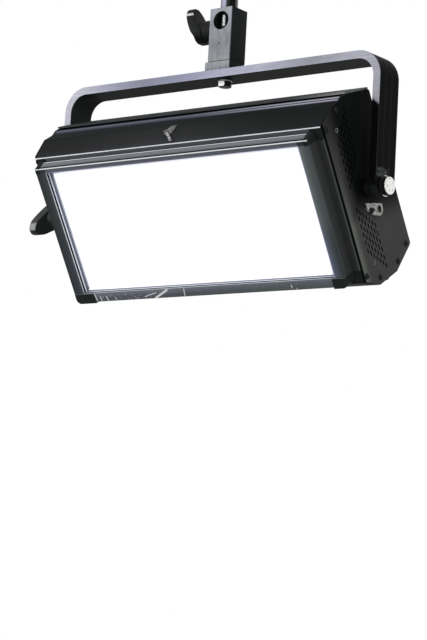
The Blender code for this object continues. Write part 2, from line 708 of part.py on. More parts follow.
def tilt_pivots(pan, tilt):
    """The washers and spacers of the yoke, and the shaft, sleeve, nut and cap of the housing."""
    centre = (0.0, PIVOT_HEIGHT)
    bore = PIVOT_RADIUS + HOLE_CLEARANCE
    spacer_low, spacer_high = HOUSING_HALF_WIDTH + GAP, ARM_INNER - GAP
    for side, sign in (("left", -1), ("right", 1)):
        spacer = ring(SPACER_RADIUS, bore, sign * spacer_low, sign * spacer_high, "X", centre)
        add(f"{side}_pivot_spacer", spacer, "black_plastic", pan, smooth=True)
        washer_low = ARM_OUTER + GAP
        washer_high = washer_low + PIVOT_WASHER_THICKNESS
        hole = bore if sign > 0 else STUD_RADIUS + HOLE_CLEARANCE
        washer = ring(PIVOT_WASHER_RADIUS, hole, sign * washer_low, sign * washer_high, "X", centre)
        add(f"{side}_pivot_washer", washer, "zinc", pan, smooth=True)

    flange_high = SIDE_INNER - GAP
    flange_low = flange_high - PIVOT_FLANGE_THICKNESS
    cap_low = ARM_OUTER + 3 * GAP + PIVOT_WASHER_THICKNESS + NUT_HEIGHT
    shaft_profile = [
        (0, flange_low),
        (PIVOT_FLANGE_RADIUS, flange_low),
        (PIVOT_FLANGE_RADIUS, flange_high),
        (PIVOT_RADIUS, flange_high),
        (PIVOT_RADIUS, cap_low - GAP),
        (0, cap_low - GAP),
    ]
    add("right_pivot_shaft", turned(shaft_profile, "X"), "zinc", tilt, smooth=True)
    nut_low = ARM_OUTER + 2 * GAP + PIVOT_WASHER_THICKNESS
    nut = ring(NUT_RADIUS, bore, nut_low, nut_low + NUT_HEIGHT, "X")
    add("right_pivot_nut", nut, "black_paint", tilt, smooth=True)
    cap = rod(CAP_RADIUS, cap_low, cap_low + CAP_THICKNESS, "X", steps=ROUND_STEPS)
    add("right_pivot_cap", cap, "aluminium", tilt, smooth=True)

    hollow = STUD_RADIUS + HOLE_CLEARANCE
    sleeve_profile = [
        (hollow, -flange_low),
        (PIVOT_FLANGE_RADIUS, -flange_low),
        (PIVOT_FLANGE_RADIUS, -flange_high),
        (PIVOT_RADIUS, -flange_high),
        (PIVOT_RADIUS, -ARM_OUTER),
        (hollow, -ARM_OUTER),
    ]
    add("left_pivot_sleeve", turned(sleeve_profile, "X"), "zinc", tilt, smooth=True)


def plate_outline():
    """The side plate's edge in depth and height, clockwise from its lower front corner."""
    return [
        (PLATE_FRONT, -FRONT_EDGE_HEIGHT),
        (PLATE_FRONT, FRONT_EDGE_HEIGHT + PLATE_SETBACK * math.tan(slope_pitch())),
        (SLOPE_END, TOP_HEIGHT),
        (STRIP_FRONT, TOP_HEIGHT),
        (STRIP_REAR, CREST_HEIGHT),
        (STRIP_REAR + TOP_GROOVE_WIDTH, CREST_HEIGHT),
        (HOUSING_REAR - REAR_CORNER, REAR_TOP_HEIGHT),
        (HOUSING_REAR, REAR_TOP_HEIGHT - REAR_CORNER),
        (HOUSING_REAR, -REAR_BOTTOM_HEIGHT + REAR_CORNER),
        (HOUSING_REAR - REAR_CORNER, -REAR_BOTTOM_HEIGHT),
        (BOTTOM_FLAT_END, -BOTTOM_HEIGHT),
        (SLOPE_END, -BOTTOM_HEIGHT),
    ]


def vent_slots():
    """Slot outlines in depth and height: columns that each start further from the middle."""
    outlines = []
    half_length = VENT_SLOT_LENGTH / 2
    half_width = VENT_SLOT_WIDTH / 2
    for upward in (-1, 1):
        for column in range(VENT_COLUMNS):
            depth = VENT_FRONT + column * VENT_COLUMN_PITCH
            first = VENT_START + column * VENT_SLANT
            for row in range(VENT_SLOTS):
                height = upward * (first + row * VENT_SLOT_PITCH)
                outlines.append(
                    [
                        (depth, height - half_length),
                        (depth + half_width, height - half_length + half_width),
                        (depth + half_width, height + half_length - half_width),
                        (depth, height + half_length),
                        (depth - half_width, height + half_length - half_width),
                        (depth - half_width, height - half_length + half_width),
                    ]
                )
    return outlines


def side_plates(tilt):
    for side, sign in (("left", -1), ("right", 1)):
        inner, outer = sign * SIDE_INNER, sign * HOUSING_HALF_WIDTH
        low, high = min(inner, outer), max(inner, outer)
        plate = add(f"{side}_side_plate", prism([plate_outline()], low, high, "X"), "black_paint", tilt)
        cut(plate, "vents", prism(vent_slots(), low - THROUGH, high + THROUGH, "X"))
        hole = rod(PIVOT_RADIUS + HOLE_CLEARANCE, low - THROUGH, high + THROUGH, "X")
        cut(plate, "pivot_hole", hole)
        if sign < 0:
            continue
        radius = SCREW_SHANK_RADIUS + HOLE_CLEARANCE
        places = list(PLATE_SCREWS.values()) + [(EYE_SCREW_DEPTH, EYE_SCREW_HEIGHT)]
        for index, place in enumerate(places):
            screw_hole = rod(radius, low - THROUGH, high + THROUGH, "X", place, SCREW_STEPS)
            cut(plate, f"screw_hole_{index}", screw_hole)


def button_screw(name, home, seat, place, length):
    """A domed socket screw along X: its head seats at seat and its shank points to -X."""
    top = seat + SCREW_HEAD_HEIGHT
    profile = [
        (0, seat - length),
        (SCREW_SHANK_RADIUS, seat - length),
        (SCREW_SHANK_RADIUS, seat),
        (SCREW_HEAD_RADIUS, seat),
    ]
    profile += [(SCREW_HEAD_RADIUS * out, seat + SCREW_HEAD_HEIGHT * up) for out, up in DOME_SHARES]
    profile += [
        (SCREW_SOCKET_RADIUS, top),
        (SCREW_SOCKET_RADIUS, top - SCREW_SOCKET_DEPTH),
        (0, top - SCREW_SOCKET_DEPTH),
    ]
    add(name, turned(profile, "X", place, SCREW_STEPS), "black_paint", home, smooth=True)


def top_shell(tilt):
    """The bent front half of the roof: slope, flat, ribbed strip and the ledge under the groove."""
    groove_floor = CREST_HEIGHT - TOP_GROOVE_DEPTH
    strip_middle = (STRIP_FRONT + STRIP_REAR) / 2
    rise = (CREST_HEIGHT - TOP_HEIGHT) / 2
    outer = [
        (HOUSING_FRONT, FRONT_EDGE_HEIGHT),
        (SLOPE_END, TOP_HEIGHT),
        (STRIP_FRONT, TOP_HEIGHT),
        (strip_middle, TOP_HEIGHT + rise),
        (strip_middle, TOP_HEIGHT + rise - STRIP_STEP),
        (strip_middle + STRIP_STEP, TOP_HEIGHT + rise - STRIP_STEP),
        (STRIP_REAR, CREST_HEIGHT),
        (STRIP_REAR + GAP, CREST_HEIGHT),
        (STRIP_REAR + GAP, groove_floor),
        (STRIP_REAR + TOP_GROOVE_WIDTH + TOP_LEDGE, groove_floor),
    ]
    inner = [
        (STRIP_REAR + TOP_GROOVE_WIDTH + TOP_LEDGE, groove_floor - SHEET),
        (STRIP_REAR - SHEET, groove_floor - SHEET),
        (STRIP_FRONT, TOP_HEIGHT - SHEET - STRIP_STEP),
        (SLOPE_END, TOP_HEIGHT - SHEET),
        (HOUSING_FRONT, FRONT_EDGE_HEIGHT - SHEET),
    ]
    bent = prism([outer + inner], -SHELL_HALF_WIDTH, SHELL_HALF_WIDTH, "X")
    shell = add("top_shell", bent, "black_paint", tilt)
    cut(shell, "latch_hole", on_slope(latch_screw_hole()))


def bottom_shell(tilt):
    outline = [
        (HOUSING_FRONT, -FRONT_EDGE_HEIGHT),
        (SLOPE_END, -BOTTOM_HEIGHT),
        (BOTTOM_FLAT_END - GAP, -BOTTOM_HEIGHT),
        (BOTTOM_FLAT_END - GAP, -BOTTOM_HEIGHT + SHEET),
        (SLOPE_END, -BOTTOM_HEIGHT + SHEET),
        (HOUSING_FRONT, -FRONT_EDGE_HEIGHT + SHEET),
    ]
    add("bottom_shell", prism([outline], -SHELL_HALF_WIDTH, SHELL_HALF_WIDTH, "X"), "black_paint", tilt)


def rear_cover(tilt):
    """Rear half of the roof, lying on the side plates, with the wall and slope bent down from it."""
    front = STRIP_REAR + TOP_GROOVE_WIDTH
    corner = HOUSING_REAR - REAR_CORNER
    roof = [
        (front, CREST_HEIGHT + GAP),
        (corner, REAR_TOP_HEIGHT + GAP),
        (corner, REAR_TOP_HEIGHT + GAP + COVER_ROOF),
        (front, CREST_HEIGHT + GAP + COVER_ROOF),
    ]
    wall = [
        (corner - SHEET, REAR_TOP_HEIGHT + COVER_ROOF / 2),
        (corner - SHEET / 4, REAR_TOP_HEIGHT + COVER_ROOF / 2),
        (HOUSING_REAR, REAR_TOP_HEIGHT - REAR_CORNER),
        (HOUSING_REAR, -REAR_BOTTOM_HEIGHT + REAR_CORNER),
        (corner, -REAR_BOTTOM_HEIGHT),
        (BOTTOM_FLAT_END, -BOTTOM_HEIGHT),
        (BOTTOM_FLAT_END, -BOTTOM_HEIGHT + SHEET),
        (corner - SHEET / 2, -REAR_BOTTOM_HEIGHT + SHEET),
        (COVER_INNER, -REAR_BOTTOM_HEIGHT + REAR_CORNER + SHEET / 2),
        (COVER_INNER, REAR_TOP_HEIGHT - REAR_CORNER - SHEET / 2),
        (corner - SHEET, REAR_TOP_HEIGHT),
    ]
    bent = prism([wall], -SHELL_HALF_WIDTH, SHELL_HALF_WIDTH, "X")
    cover = add("rear_cover", bent, "black_paint", tilt)
    join(cover, "roof", prism([roof], -HOUSING_HALF_WIDTH, HOUSING_HALF_WIDTH, "X"))
    low, high = COVER_INNER - THROUGH, HOUSING_REAR + THROUGH
    slots = []
    for sign in (-1, 1):
        for index in range(GRILLE_SLOTS):
            height = FAN_HEIGHT + (index - (GRILLE_SLOTS - 1) / 2) * GRILLE_PITCH
            half = math.sqrt(FAN_BORE_RADIUS**2 - (height - FAN_HEIGHT) ** 2)
            x = sign * FAN_OFFSET
            slots.append(
                [
                    (x - half, height - GRILLE_SLOT / 2),
                    (x + half, height - GRILLE_SLOT / 2),
                    (x + half, height + GRILLE_SLOT / 2),
                    (x - half, height + GRILLE_SLOT / 2),
                ]
            )
    cut(cover, "fan_grilles", prism(slots, low, high, "Y"))
    for index, height in enumerate((SOCKET_IN_HEIGHT, SOCKET_OUT_HEIGHT)):
        hole = rod(SOCKET_RADIUS + HOLE_CLEARANCE, low, high, "Y", (SOCKET_X, height))
        cut(cover, f"socket_hole_{index}", hole)
    border = 2 * (SWITCH_FRAME + GAP)
    windows = [
        centred_outline(SOCKET_X, INLET_HEIGHT, INLET_WIDTH + 2 * GAP, INLET_TALL + 2 * GAP),
        centred_outline(SWITCH_X, SWITCH_HEIGHT, SWITCH_WIDTH + border, SWITCH_TALL + border),
    ]
    cut(cover, "power_windows", prism(windows, low, high, "Y"))
    knob = (SWITCH_X, KNOB_HEIGHT)
    shaft_hole = rod(KNOB_SHAFT_RADIUS + HOLE_CLEARANCE, low, high, "Y", knob, SMALL_STEPS)
    cut(cover, "knob_hole", shaft_hole)


def centred_outline(x, z, width, height):
    return [
        (x - width / 2, z - height / 2),
        (x + width / 2, z - height / 2),
        (x + width / 2, z + height / 2),
        (x - width / 2, z + height / 2),
    ]


def reveal():
    """The stepped inner face that all four rails share: (distance outside the lip, depth) points."""
    groove_front = FRAME_FRONT + REVEAL_LIP
    groove_rear = groove_front + REVEAL_GROOVE
    ridge_rear = groove_rear + REVEAL_RIDGE
    return [
        (0, FRAME_FRONT),
        (0, groove_front),
        (REVEAL_GROOVE_DEPTH, groove_front),
        (REVEAL_GROOVE_DEPTH, groove_rear),
        (0, groove_rear),
        (0, ridge_rear),
        (REVEAL_SLANT_DEPTH, ridge_rear + REVEAL_SLANT),
        (REVEAL_SLANT_DEPTH, SEAT),
        (REBATE, SEAT),
        (REBATE, FRAME_BACK),
    ]


def front_rails(tilt):
    inside = reveal()
    side_ends = (-LIP_HALF_HEIGHT + GAP, LIP_HALF_HEIGHT - GAP)
    for side, sign in (("left", -1), ("right", 1)):
        outline = [(LIP_HALF_WIDTH + out, depth) for out, depth in inside]
        outline += [
            (FLANGE_HALF_WIDTH, FRAME_BACK),
            (FLANGE_HALF_WIDTH, HOUSING_FRONT),
            (FRAME_HALF_WIDTH, HOUSING_FRONT),
            (FRAME_HALF_WIDTH, FRAME_FRONT),
        ]
        outline = [(sign * x, depth) for x, depth in outline]
        add(f"{side}_rail", prism([outline], *side_ends, "Z"), "black_paint", tilt)

    outline = [(depth, LIP_HALF_HEIGHT + out) for out, depth in inside]
    outline += [
        (FRAME_BACK, FLANGE_HEIGHT),
        (HOUSING_FRONT, FLANGE_HEIGHT),
        (HOUSING_FRONT, TOP_CHANNEL_FLOOR),
        (TOP_BAND_REAR + TOP_RIDGE_WIDTH, TOP_CHANNEL_FLOOR),
        (TOP_BAND_REAR + TOP_RIDGE_WIDTH, TOP_RIDGE_HEIGHT),
        (TOP_BAND_REAR, TOP_RIDGE_HEIGHT),
        (FRAME_FRONT + TOP_LIP_WIDTH + TOP_LIP_GROOVE, FRAME_TOP + TOP_LIP_GROOVE / 2),
        (FRAME_FRONT + TOP_LIP_WIDTH + TOP_LIP_GROOVE, FRAME_TOP - TOP_LIP_GROOVE),
        (FRAME_FRONT + TOP_LIP_WIDTH, FRAME_TOP - TOP_LIP_GROOVE),
        (FRAME_FRONT + TOP_LIP_WIDTH, FRAME_TOP),
        (FRAME_FRONT, FRAME_TOP),
    ]
    end = TOP_CAP_START - GAP
    add("top_rail", prism([outline], -end, end, "X"), "black_paint", tilt)

    outline = [(depth, -LIP_HALF_HEIGHT - out) for out, depth in inside]
    outline += [
        (FRAME_BACK, -FLANGE_HEIGHT),
        (HOUSING_FRONT, -FLANGE_HEIGHT),
        (HOUSING_FRONT, -FRAME_BOTTOM),
        (FRAME_FRONT, -FRAME_BOTTOM),
    ]
    reach = LIP_HALF_WIDTH + REBATE - GAP
    rail = add("bottom_rail", prism([outline], -reach, reach, "X"), "black_paint", tilt)
    edge = -LIP_HALF_HEIGHT - REBATE + GAP
    room = [
        (FRAME_FRONT - THROUGH, -LIP_HALF_HEIGHT + THROUGH),
        (FRAME_FRONT + CORNER_FACE, -LIP_HALF_HEIGHT + THROUGH),
        (FRAME_FRONT + CORNER_FACE, edge),
        (FRAME_BACK + THROUGH, edge),
        (FRAME_BACK + THROUGH, -FLANGE_HEIGHT - THROUGH),
        (FRAME_FRONT - THROUGH, -FLANGE_HEIGHT - THROUGH),
    ]
    for side, sign, start in (("left", -1, LEFT_CORNER_START), ("right", 1, RIGHT_CORNER_START)):
        ends = sorted((sign * (start - GAP), sign * (reach + THROUGH)))
        cut(rail, f"{side}_corner_room", prism([room], *ends, "X"))


def corner_blocks(tilt):
    """Four black blocks that close the corners of the front frame."""
    front = FRAME_FRONT - CORNER_PROUD
    starts = {"left": LEFT_CORNER_START, "right": RIGHT_CORNER_START}
    for side, sign in (("left", -1), ("right", 1)):
        outline = [
            (starts[side], front),
            (FRAME_HALF_WIDTH, front),
            (FRAME_HALF_WIDTH, HOUSING_FRONT),
            (FLANGE_HALF_WIDTH, HOUSING_FRONT),
            (FLANGE_HALF_WIDTH, FRAME_BACK),
            (starts[side], FRAME_BACK),
        ]
        outline = [(sign * x, depth) for x, depth in outline]
        block = add(
            f"{side}_bottom_corner",
            prism([outline], -FLANGE_HEIGHT, -LIP_HALF_HEIGHT, "Z"),
            "black_plastic",
            tilt,
        )
        centre = (FRAME_HALF_WIDTH - CORNER_RADIUS, -FLANGE_HEIGHT + CORNER_RADIUS)
        outside = arc(centre, CORNER_RADIUS, 0, -90, BEND_STEPS)
        outside += [
            (centre[0], -FLANGE_HEIGHT - THROUGH),
            (FRAME_HALF_WIDTH + THROUGH, -FLANGE_HEIGHT - THROUGH),
            (FRAME_HALF_WIDTH + THROUGH, centre[1]),
        ]
        outside = [(sign * x, z) for x, z in outside]
        cut(block, "rounding", prism([outside], front - THROUGH, HOUSING_FRONT - GAP, "Y"))
        recess = [
            (starts[side] - THROUGH, -LIP_HALF_HEIGHT - REBATE),
            (LIP_HALF_WIDTH + REBATE, -LIP_HALF_HEIGHT - REBATE),
            (LIP_HALF_WIDTH + REBATE, -LIP_HALF_HEIGHT + THROUGH),
            (starts[side] - THROUGH, -LIP_HALF_HEIGHT + THROUGH),
        ]
        recess = [(sign * x, z) for x, z in recess]
        recess_front = FRAME_FRONT + CORNER_FACE - GAP
        cut(block, "rail_recess", prism([recess], recess_front, FRAME_BACK + THROUGH, "Y"))

        top_outline = [
            (sign * TOP_CAP_START, front),
            (sign * FRAME_HALF_WIDTH, front),
            (sign * FRAME_HALF_WIDTH, HOUSING_FRONT),
            (sign * FLANGE_HALF_WIDTH, HOUSING_FRONT),
            (sign * FLANGE_HALF_WIDTH, FRAME_BACK),
            (sign * TOP_CAP_START, FRAME_BACK),
        ]
        cap = add(
            f"{side}_top_corner",
            prism([top_outline], LIP_HALF_HEIGHT, FLANGE_HEIGHT, "Z"),
            "black_plastic",
            tilt,
        )
        wedge = [
            (front - THROUGH, FRAME_TOP + TOP_CAP_PROUD),
            (FRAME_FRONT + TOP_LIP_WIDTH, FRAME_TOP + TOP_CAP_PROUD),
            (TOP_BAND_REAR, TOP_RIDGE_HEIGHT + TOP_CAP_PROUD),
            (HOUSING_FRONT - GAP, TOP_RIDGE_HEIGHT + TOP_CAP_PROUD),
            (HOUSING_FRONT - GAP, FLANGE_HEIGHT + THROUGH),
            (front - THROUGH, FLANGE_HEIGHT + THROUGH),
        ]
        ends = sorted((sign * (TOP_CAP_START - THROUGH), sign * (FLANGE_HALF_WIDTH + THROUGH)))
        cut(cap, "slope", prism([wedge], *ends, "X"))


def diffuser(tilt):
    """The glowing panel, which lies in the rebates of all four rails."""
    width = 2 * (LIP_HALF_WIDTH + REBATE - DIFFUSER_EDGE_PLAY)
    height = 2 * (LIP_HALF_HEIGHT + REBATE - DIFFUSER_EDGE_PLAY)
    outline = centred_outline(0.0, 0.0, width, height)
    panel = prism([outline], DIFFUSER_FRONT, DIFFUSER_FRONT + DIFFUSER_THICKNESS, "Y")
    add("diffuser", panel, "diffuser", tilt)


def mixing_chamber(tilt):
    """A white tray behind the panel: flange, sloping walls and floor, all one thin shell."""
    mouth_x = CHAMBER_FLANGE_X - CHAMBER_MOUTH_BORDER
    mouth_z = CHAMBER_FLANGE_Z - CHAMBER_MOUTH_BORDER

    def loop(half_x, half_z, depth):
        return [
            Vector((-half_x, depth, -half_z)),
            Vector((half_x, depth, -half_z)),
            Vector((half_x, depth, half_z)),
            Vector((-half_x, depth, half_z)),
        ]

    back = CHAMBER_FRONT + CHAMBER_FLANGE
    floor_back = CHAMBER_FLOOR + CHAMBER_FLANGE
    sections = [
        loop(CHAMBER_FLOOR_X, CHAMBER_FLOOR_Z, CHAMBER_FLOOR),
        loop(mouth_x, mouth_z, CHAMBER_FRONT),
        loop(CHAMBER_FLANGE_X, CHAMBER_FLANGE_Z, CHAMBER_FRONT),
        loop(CHAMBER_FLANGE_X, CHAMBER_FLANGE_Z, back),
        loop(mouth_x + CHAMBER_WALL, mouth_z + CHAMBER_WALL, back),
        loop(CHAMBER_FLOOR_X + CHAMBER_WALL, CHAMBER_FLOOR_Z + CHAMBER_WALL, floor_back),
    ]
    add("mixing_chamber", loft(sections), "white_paint", tilt)
    rear = CHAMBER_FLOOR - GAP
    outer = CHAMBER_FLOOR_X - BOARD_SIDE_MARGIN
    half_height = CHAMBER_FLOOR_Z - BOARD_EDGE_MARGIN
    for side, sign in (("left", -1), ("right", 1)):
        x_range = sorted((sign * BOARD_INNER, sign * outer))
        board = box(x_range, (rear - BOARD_THICKNESS, rear), (-half_height, half_height))
        add(f"{side}_led_board", board, "white_paint", tilt)


def heat_sink(tilt):
    """A finned plate behind the mixing chamber, drawn as one comb outline."""
    front = CHAMBER_FLOOR + CHAMBER_FLANGE + GAP
    root = front + SINK_BASE
    half_width = CHAMBER_FLOOR_X - SINK_SIDE_MARGIN
    count = int((2 * half_width - SINK_FIN_THICKNESS) / SINK_FIN_PITCH)
    first = -count * SINK_FIN_PITCH / 2
    outline = [(-half_width, front), (-half_width, root)]
    for index in range(count + 1):
        x = first + index * SINK_FIN_PITCH
        low, high = x - SINK_FIN_THICKNESS / 2, x + SINK_FIN_THICKNESS / 2
        before_supply = abs(x) < SUPPLY_HALF_WIDTH + SINK_FIN_PITCH / 2
        tip = root + SINK_SHORT_FIN_HEIGHT if before_supply else FAN_FRONT - SINK_FAN_CLEARANCE
        outline += [(low, root), (low, tip), (high, tip), (high, root)]
    outline += [(half_width, root), (half_width, front)]
    comb = prism([outline], -CHAMBER_FLOOR_Z, CHAMBER_FLOOR_Z, "Z")
    add("heat_sink", comb, "aluminium", tilt)


def fan_frame(side, sign, tilt):
    rear = COVER_INNER - GAP
    front = FAN_FRONT
    x = sign * FAN_OFFSET
    square = centred_outline(x, FAN_HEIGHT, FAN_SIZE, FAN_SIZE)
    frame = add(f"{side}_fan_frame", prism([square], front, rear, "Y"), "black_plastic", tilt)
    centre = (x, FAN_HEIGHT)
    cut(frame, "bore", rod(FAN_BORE_RADIUS, front - THROUGH, rear - FAN_SPIDER, "Y", centre))
    sectors = []
    for index in range(FAN_SPIDER_ARMS):
        sweep = 360 / FAN_SPIDER_ARMS
        outer_trim = math.degrees(FAN_SPIDER_ARM_WIDTH / 2 / FAN_BORE_RADIUS)
        inner_trim = math.degrees(FAN_SPIDER_ARM_WIDTH / 2 / FAN_HUB_RADIUS)
        start = index * sweep
        reach = FAN_BORE_RADIUS - THROUGH / 4
        sector = arc(centre, reach, start + outer_trim, start + sweep - outer_trim, BEND_STEPS)
        inner_start, inner_end = start + sweep - inner_trim, start + inner_trim
        sector += arc(centre, FAN_HUB_RADIUS, inner_start, inner_end, BEND_STEPS // 2)
        sectors.append(sector)
    cut(frame, "air_ways", prism(sectors, rear - FAN_SPIDER - THROUGH, rear + THROUGH, "Y"))
    radius = FAN_SHAFT_RADIUS + HOLE_CLEARANCE
    low, high = rear - FAN_SPIDER - THROUGH, rear + THROUGH
    cut(frame, "shaft_hole", rod(radius, low, high, "Y", centre, SMALL_STEPS))


def fan_rotor(side, home):
    """Hub and blades from one outline that twists as it rises, about the empty's own Y axis."""
    rear = -FAN_SPIDER - GAP
    depth = FAN_DEPTH - FAN_SPIDER - FAN_BLADE_CLEARANCE
    tip = FAN_BORE_RADIUS - FAN_BLADE_CLEARANCE
    layers = []
    for layer in range(4):
        share = layer / 3
        twist = math.degrees(FAN_BLADE_TWIST) * share
        along = rear - depth * share
        section = []
        for blade in range(FAN_BLADES):
            middle = 360 * blade / FAN_BLADES + twist
            root_half = math.degrees(FAN_BLADE_THICKNESS / 2 / FAN_HUB_RADIUS)
            tip_half = math.degrees(FAN_BLADE_THICKNESS / 2 / tip)
            sweep = 360 / FAN_BLADES
            section += arc((0, 0), FAN_HUB_RADIUS, middle - sweep + root_half, middle - root_half, 2)
            section += arc((0, 0), tip, middle - tip_half, middle + tip_half, 1)
        layers.append([Vector((x, along, z)) for x, z in section])
    rotor = add(f"{side}_fan_rotor", loft(layers), "black_plastic", home)
    shaft = rod(FAN_SHAFT_RADIUS, rear - THROUGH, -GAP, "Y", steps=SMALL_STEPS)
    join(rotor, "shaft", shaft)


def power_supply(tilt):
    rear = COVER_INNER - GAP
    case = box(
        (-SUPPLY_HALF_WIDTH, SUPPLY_HALF_WIDTH),
        (rear - SUPPLY_DEPTH, rear),
        (-SUPPLY_HALF_HEIGHT, SUPPLY_HALF_HEIGHT),
    )
    soften(add("power_supply", case, "aluminium", tilt), SUPPLY_BEVEL)


def control_board(tilt):
    rear = CONTROL_BOARD_REAR
    board = box(
        (CONTROL_BOARD_LEFT, CONTROL_BOARD_RIGHT),
        (rear - BOARD_THICKNESS, rear),
        (CONTROL_BOARD_LOW, CONTROL_BOARD_HIGH),
    )
    add("control_board", board, "circuit_board", tilt)


def data_socket(name, height, tilt):
    """A square flange outside the cover, and a barrel that reaches the control board."""
    outside = HOUSING_REAR + GAP
    face = outside + SOCKET_FLANGE_THICKNESS
    square = centred_outline(SOCKET_X, height, SOCKET_FLANGE, SOCKET_FLANGE)
    socket = add(name, prism([square], outside, face, "Y"), "black_plastic", tilt)
    centre = (SOCKET_X, height)
    join(socket, "barrel", rod(SOCKET_RADIUS, CONTROL_BOARD_REAR + GAP, outside + GAP, "Y", centre))
    floor = face - SOCKET_CAVITY_DEPTH
    cut(socket, "cavity", rod(SOCKET_CAVITY_RADIUS, floor, face + THROUGH, "Y", centre))


def power_inlet(tilt):
    outside = HOUSING_REAR + GAP
    face = outside + INLET_FLANGE
    border = 2 * INLET_FLANGE
    rim = centred_outline(SOCKET_X, INLET_HEIGHT, INLET_WIDTH + border, INLET_TALL + border)
    inlet = add("power_inlet", prism([rim], outside, face, "Y"), "black_plastic", tilt)
    body = centred_outline(SOCKET_X, INLET_HEIGHT, INLET_WIDTH, INLET_TALL)
    join(inlet, "body", prism([body], CONTROL_BOARD_REAR + GAP, outside + GAP, "Y"))
    mouth = centred_outline(SOCKET_X, INLET_HEIGHT, INLET_CAVITY_WIDTH, INLET_CAVITY_TALL)
    cut(inlet, "cavity", prism([mouth], face - SOCKET_CAVITY_DEPTH, face + THROUGH, "Y"))


def power_switch(home, tilt):
    """A fixed frame with a pocket, and a rocker that tips about X in it."""
    outside = HOUSING_REAR + GAP
    face = outside + SWITCH_FRAME
    border = 4 * SWITCH_FRAME
    rim = centred_outline(SWITCH_X, SWITCH_HEIGHT, SWITCH_WIDTH + border, SWITCH_TALL + border)
    frame = add("switch_frame", prism([rim], outside, face, "Y"), "black_plastic", tilt)
    border = 2 * SWITCH_FRAME
    body = centred_outline(SWITCH_X, SWITCH_HEIGHT, SWITCH_WIDTH + border, SWITCH_TALL + border)
    join(frame, "body", prism([body], CONTROL_BOARD_REAR + GAP, outside + GAP, "Y"))
    radius = SWITCH_TALL / 2
    pocket = centred_outline(SWITCH_X, SWITCH_HEIGHT, SWITCH_WIDTH + 2 * GAP, SWITCH_TALL + 2 * GAP)
    cut(frame, "pocket", prism([pocket], face - radius - GAP, face + THROUGH, "Y"))
    edge = radius - GAP
    rocker = arc((0, 0), edge, 90, 270, BEND_STEPS)
    rocker += [(SWITCH_PROUD, -edge), (SWITCH_DIP, 0), (SWITCH_PROUD, edge)]
    half = SWITCH_WIDTH / 2
    shape = prism([rocker], -half, half, "X")
    throw = Matrix.Rotation(SWITCH_THROW, 3, "X")
    bmesh.ops.rotate(shape, verts=shape.verts, cent=(0, 0, 0), matrix=throw)
    add("power_switch", shape, "black_plastic", home)


def dimmer_knob(home):
    """A fluted knob and its shaft, about the empty's own Y axis, from the cover's outer face."""
    start = GAP
    end = start + KNOB_LENGTH

    def section(along, shrink):
        points = []
        for step in range(KNOB_FLUTES * 2):
            angle = math.tau * step / (KNOB_FLUTES * 2)
            radius = KNOB_RADIUS - shrink - (KNOB_FLUTE_DEPTH if step % 2 else 0)
            points.append(Vector((radius * math.cos(angle), along, radius * math.sin(angle))))
        return points

    shape = loft([section(start, 0), section(end - KNOB_CHAMFER, 0), section(end, KNOB_CHAMFER)])
    knob = add("dimmer_knob", shape, "black_plastic", home)
    inner_end = CONTROL_BOARD_REAR + GAP - HOUSING_REAR
    join(knob, "shaft", rod(KNOB_SHAFT_RADIUS, inner_end, start + THROUGH, "Y", steps=SMALL_STEPS))


def safety_eye(tilt):
    """A bent sheet eye: a leaf on the plate, a step outwards and a round lug with a hole."""
    face = HOUSING_HALF_WIDTH + GAP
    outside = face + EYE_STAND_OFF
    step_end = EYE_BEND + EYE_STEP
    lug_rear = EYE_LUG_DEPTH + EYE_LUG_RADIUS
    section = [
        (face, EYE_FRONT),
        (face, EYE_BEND),
        (outside - EYE_SHEET, step_end),
        (outside - EYE_SHEET, lug_rear),
        (outside, lug_rear),
        (outside, step_end - EYE_SHEET / 2),
        (face + EYE_SHEET, EYE_BEND - EYE_SHEET / 2),
        (face + EYE_SHEET, EYE_FRONT),
    ]
    low = EYE_LUG_HEIGHT - EYE_LUG_RADIUS
    eye = add("safety_eye", prism([section], low, EYE_TOP_FRONT, "Z"), "zinc", tilt)
    lug = (EYE_LUG_DEPTH, EYE_LUG_HEIGHT)
    slope = math.degrees(EYE_TOP_SLOPE)
    fall = math.tan(EYE_TOP_SLOPE)
    outline = [(EYE_FRONT, EYE_TOP_FRONT), (EYE_SCREW_DEPTH - SCREW_HEAD_RADIUS, EYE_SCREW_HEIGHT)]
    outline += arc(lug, EYE_LUG_RADIUS, 180 - 2 * slope / 3, 360 + slope, 2 * BEND_STEPS)
    outline.append((lug_rear, EYE_TOP_FRONT + (lug_rear - EYE_FRONT) * fall))
    keep_inside(eye, "outline", prism([outline], face - THROUGH, outside + THROUGH, "X"))
    low, high = face - THROUGH, outside + THROUGH
    cut(eye, "hole", rod(EYE_HOLE_RADIUS, low, high, "X", lug, SMALL_STEPS))
    place = (EYE_SCREW_DEPTH, EYE_SCREW_HEIGHT)
    cut(eye, "screw_hole", rod(SCREW_SHANK_RADIUS + HOLE_CLEARANCE, low, high, "X", place, SCREW_STEPS))
    button_screw("safety_eye_screw", tilt, face + EYE_SHEET + GAP, place, SCREW_LENGTH + EYE_SHEET)


def slope_pitch():
    """How steeply the front slope of the roof rises towards the rear."""
    return math.atan2(TOP_HEIGHT - FRONT_EDGE_HEIGHT, SLOPE_END - HOUSING_FRONT)


def latch_origin():
    """Where the latch's screw meets the front slope of the roof."""
    up_slope = Vector((0, math.cos(slope_pitch()), math.sin(slope_pitch())))
    return Vector((LATCH_X, HOUSING_FRONT, FRONT_EDGE_HEIGHT)) + up_slope * LATCH_UP_SLOPE


def on_slope(shape):
    """Place a shape on the slope: its Z becomes the slope's normal and its Y runs up the slope."""
    matrix = Matrix.Translation(latch_origin()) @ Matrix.Rotation(slope_pitch(), 4, "X")
    bmesh.ops.transform(shape, matrix=matrix, verts=shape.verts)
    return shape


